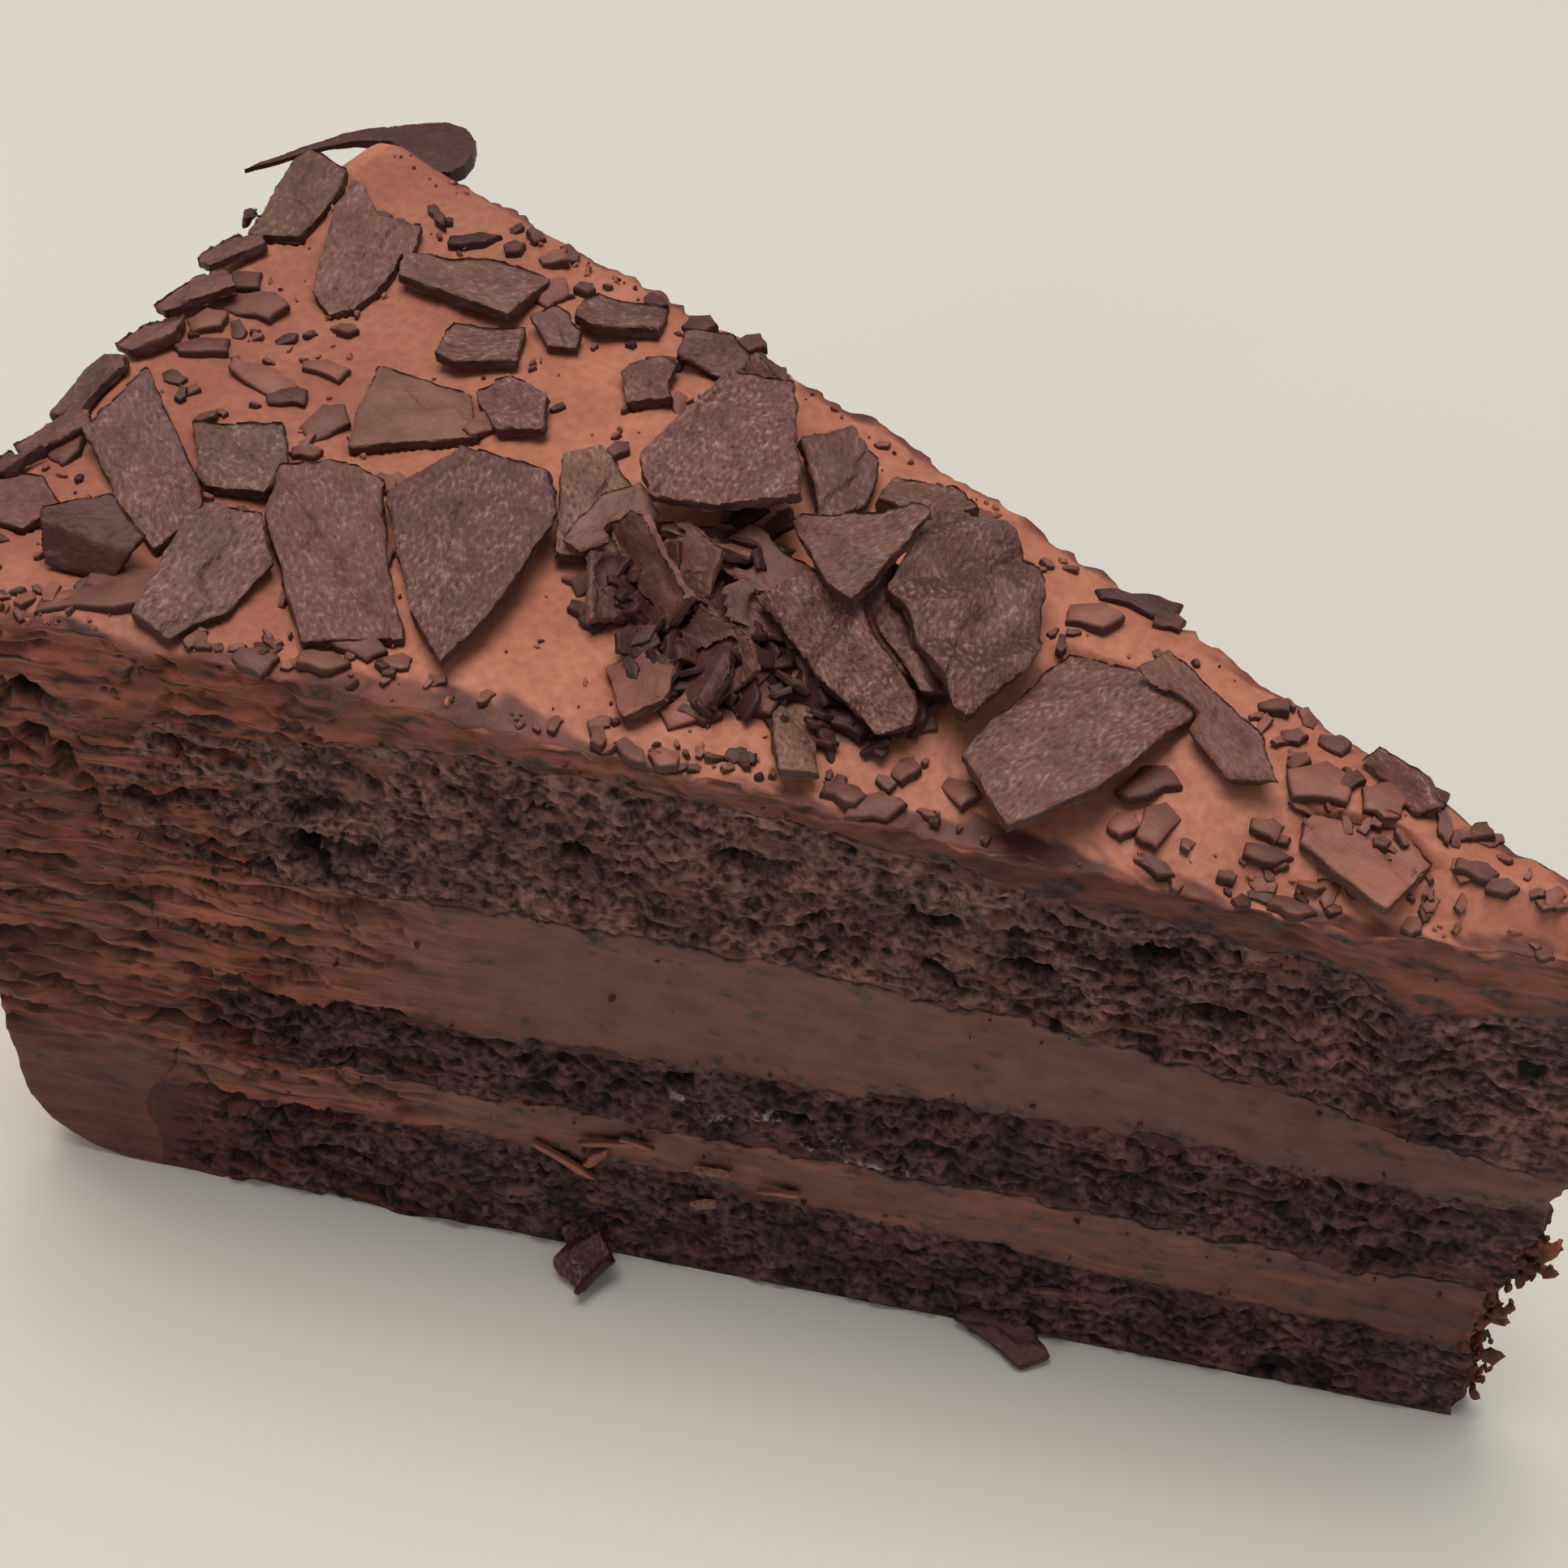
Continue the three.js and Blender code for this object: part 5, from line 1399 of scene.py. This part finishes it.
def makeTopBits():
    spec = crumbLook
    random = np.random.default_rng(spec["seed"])
    edgeBits = spec["edgeBits"]
    radius = cake["radius"] * np.sqrt(random.uniform(*spec["topArea"], spec["topBits"] + edgeBits))
    angle = np.radians(random.uniform(-spec["topAngle"], spec["topAngle"], len(radius)))
    fromEdge = random.uniform(*spec["edgeReach"], edgeBits) / radius[:edgeBits]
    angle[:edgeBits] = np.sign(angle[:edgeBits]) * (cake["halfAngle"] - fromEdge)
    spots = polar(radius, angle, coatTop(radius, angle) + spec["topLift"])
    spots = np.array([s for s in spots if not underShard(s[0], s[1])])
    sizes = lerp(*spec["topSize"], random.uniform(0, 1, len(spots)) ** 2)
    shades = random.uniform(0, 1, len(spots))
    return scatter("chocolate_bits", spots, sizes, shades, look["bit"], random)


def makeCrumbs():
    spec = crumbLook
    random = np.random.default_rng(spec["seed"] + 1)
    count, tips = spec["faceCrumbs"], spec["tipCrumbs"]
    radius = random.uniform(*spec["faceFrom"], count)
    side = random.choice((-1.0, 1.0), count)
    angle = side * cake["halfAngle"]
    which = random.integers(0, len(layers), count)
    height = np.choose(which, [meeting(n, radius, angle, side) for n in range(len(layers))])
    strays = random.normal(0, spec["faceSpread"], count)
    height += strays * np.where(random.uniform(0, 1, count) < spec["nearShare"], 1, spec["farTimes"])
    lowest, underTop = spec["faceLimits"]
    height = np.clip(height, lowest, coatTop(radius, angle) - underTop)
    spots = polar(radius, angle, height) + spec["faceLift"] * outward(side)
    sizes = lerp(*spec["faceSize"], random.uniform(0, 1, count) ** 2)
    tipHeight = lerp(*spec["tipHeight"], random.uniform(0, 1, tips) ** 1.1)
    across = random.uniform(-1, 1, tips)
    size, depth = spec["tipClumps"]
    out = random.uniform(*spec["tipOut"], tips) + depth * lumps(faceCoords(0, across, tipHeight), size, 131)
    tipSpots = polar(tipRadius(tipHeight, across) - out, across * cake["halfAngle"], tipHeight)
    tipSizes = lerp(*spec["tipSize"], random.uniform(0, 1, tips) ** 1.5)
    spots, sizes = np.concatenate([spots, tipSpots]), np.concatenate([sizes, tipSizes])
    shades = np.append(random.uniform(*spec["faceShade"], count), random.uniform(*spec["tipShade"], tips))
    return scatter("sponge_crumbs", spots, sizes, shades, look["crumb"], random)


for piece in (makeTopBits(), makeCrumbs()):
    print("crumbs", piece.name, len(piece.data.polygons), "faces")


# Stage, light and camera

stage = {"floor": 6.0, "floorTone": tone(225, 220, 209), "floorDim": 0.98, "floorPatch": 90.0,
         "worldTone": (0.93, 0.96, 1.0, 1), "world": 0.32,
         "keyPower": 14.4, "keySize": 0.8, "keyFrom": (-0.15, 0.12, 1.4), "keyTone": (1.0, 0.97, 0.93)}
view = {"place": (0.068456, -0.137638, 0.22702), "towards": (-0.30027, 0.57241, -0.76301),
        "lens": 72.67, "sensor": 36.0, "near": 0.01}


def floorMaterial():
    material, tree, shader = newMaterial("paleFloor", 0.2)
    shader["Roughness"].default_value = 0.6
    dim = tuple(stage["floorDim"] * c for c in stage["floorTone"])
    tree.links.new(twoTone(tree, dim, stage["floorTone"], stage["floorPatch"])["Color"], shader["Base Color"])
    return material


def makeStage():
    half = stage["floor"] / 2
    mesh = bpy.data.meshes.new("pale_floor")
    corners = [(-half, -half, 0), (half, -half, 0), (half, half, 0), (-half, half, 0)]
    mesh.from_pydata(corners, [], [(0, 1, 2, 3)])
    mesh.materials.append(floorMaterial())
    floor = addObject("pale_floor", mesh)
    floor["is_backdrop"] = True
    world = bpy.data.worlds.new("softRoom")
    world.use_nodes = True
    background = world.node_tree.nodes["Background"].inputs
    background["Color"].default_value = stage["worldTone"]
    background["Strength"].default_value = stage["world"]
    bpy.context.scene.world = world
    key = bpy.data.lights.new("softKey", "AREA")
    key.energy = stage["keyPower"]
    key.size = stage["keySize"]
    key.color = stage["keyTone"]
    lamp = addObject("softKey", key)
    lamp.location = stage["keyFrom"]
    lamp.rotation_euler = (-lamp.location).to_track_quat("-Z", "Y").to_euler()


def makeCamera():
    camera = bpy.data.cameras.new("photoView")
    camera.lens = view["lens"]
    camera.sensor_width = view["sensor"]
    camera.clip_start = view["near"]
    holder = addObject("photoView", camera)
    holder.location = view["place"]
    holder.rotation_euler = Vector(view["towards"]).to_track_quat("-Z", "Y").to_euler()
    bpy.context.scene.camera = holder


makeStage()
makeCamera()
bpy.context.scene.view_settings.view_transform = "Standard"
bpy.context.view_layer.update()
boxes = {"cad": cadBox, "visual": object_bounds()}
{name: [list(corner) for corner in box] for name, box in boxes.items()}
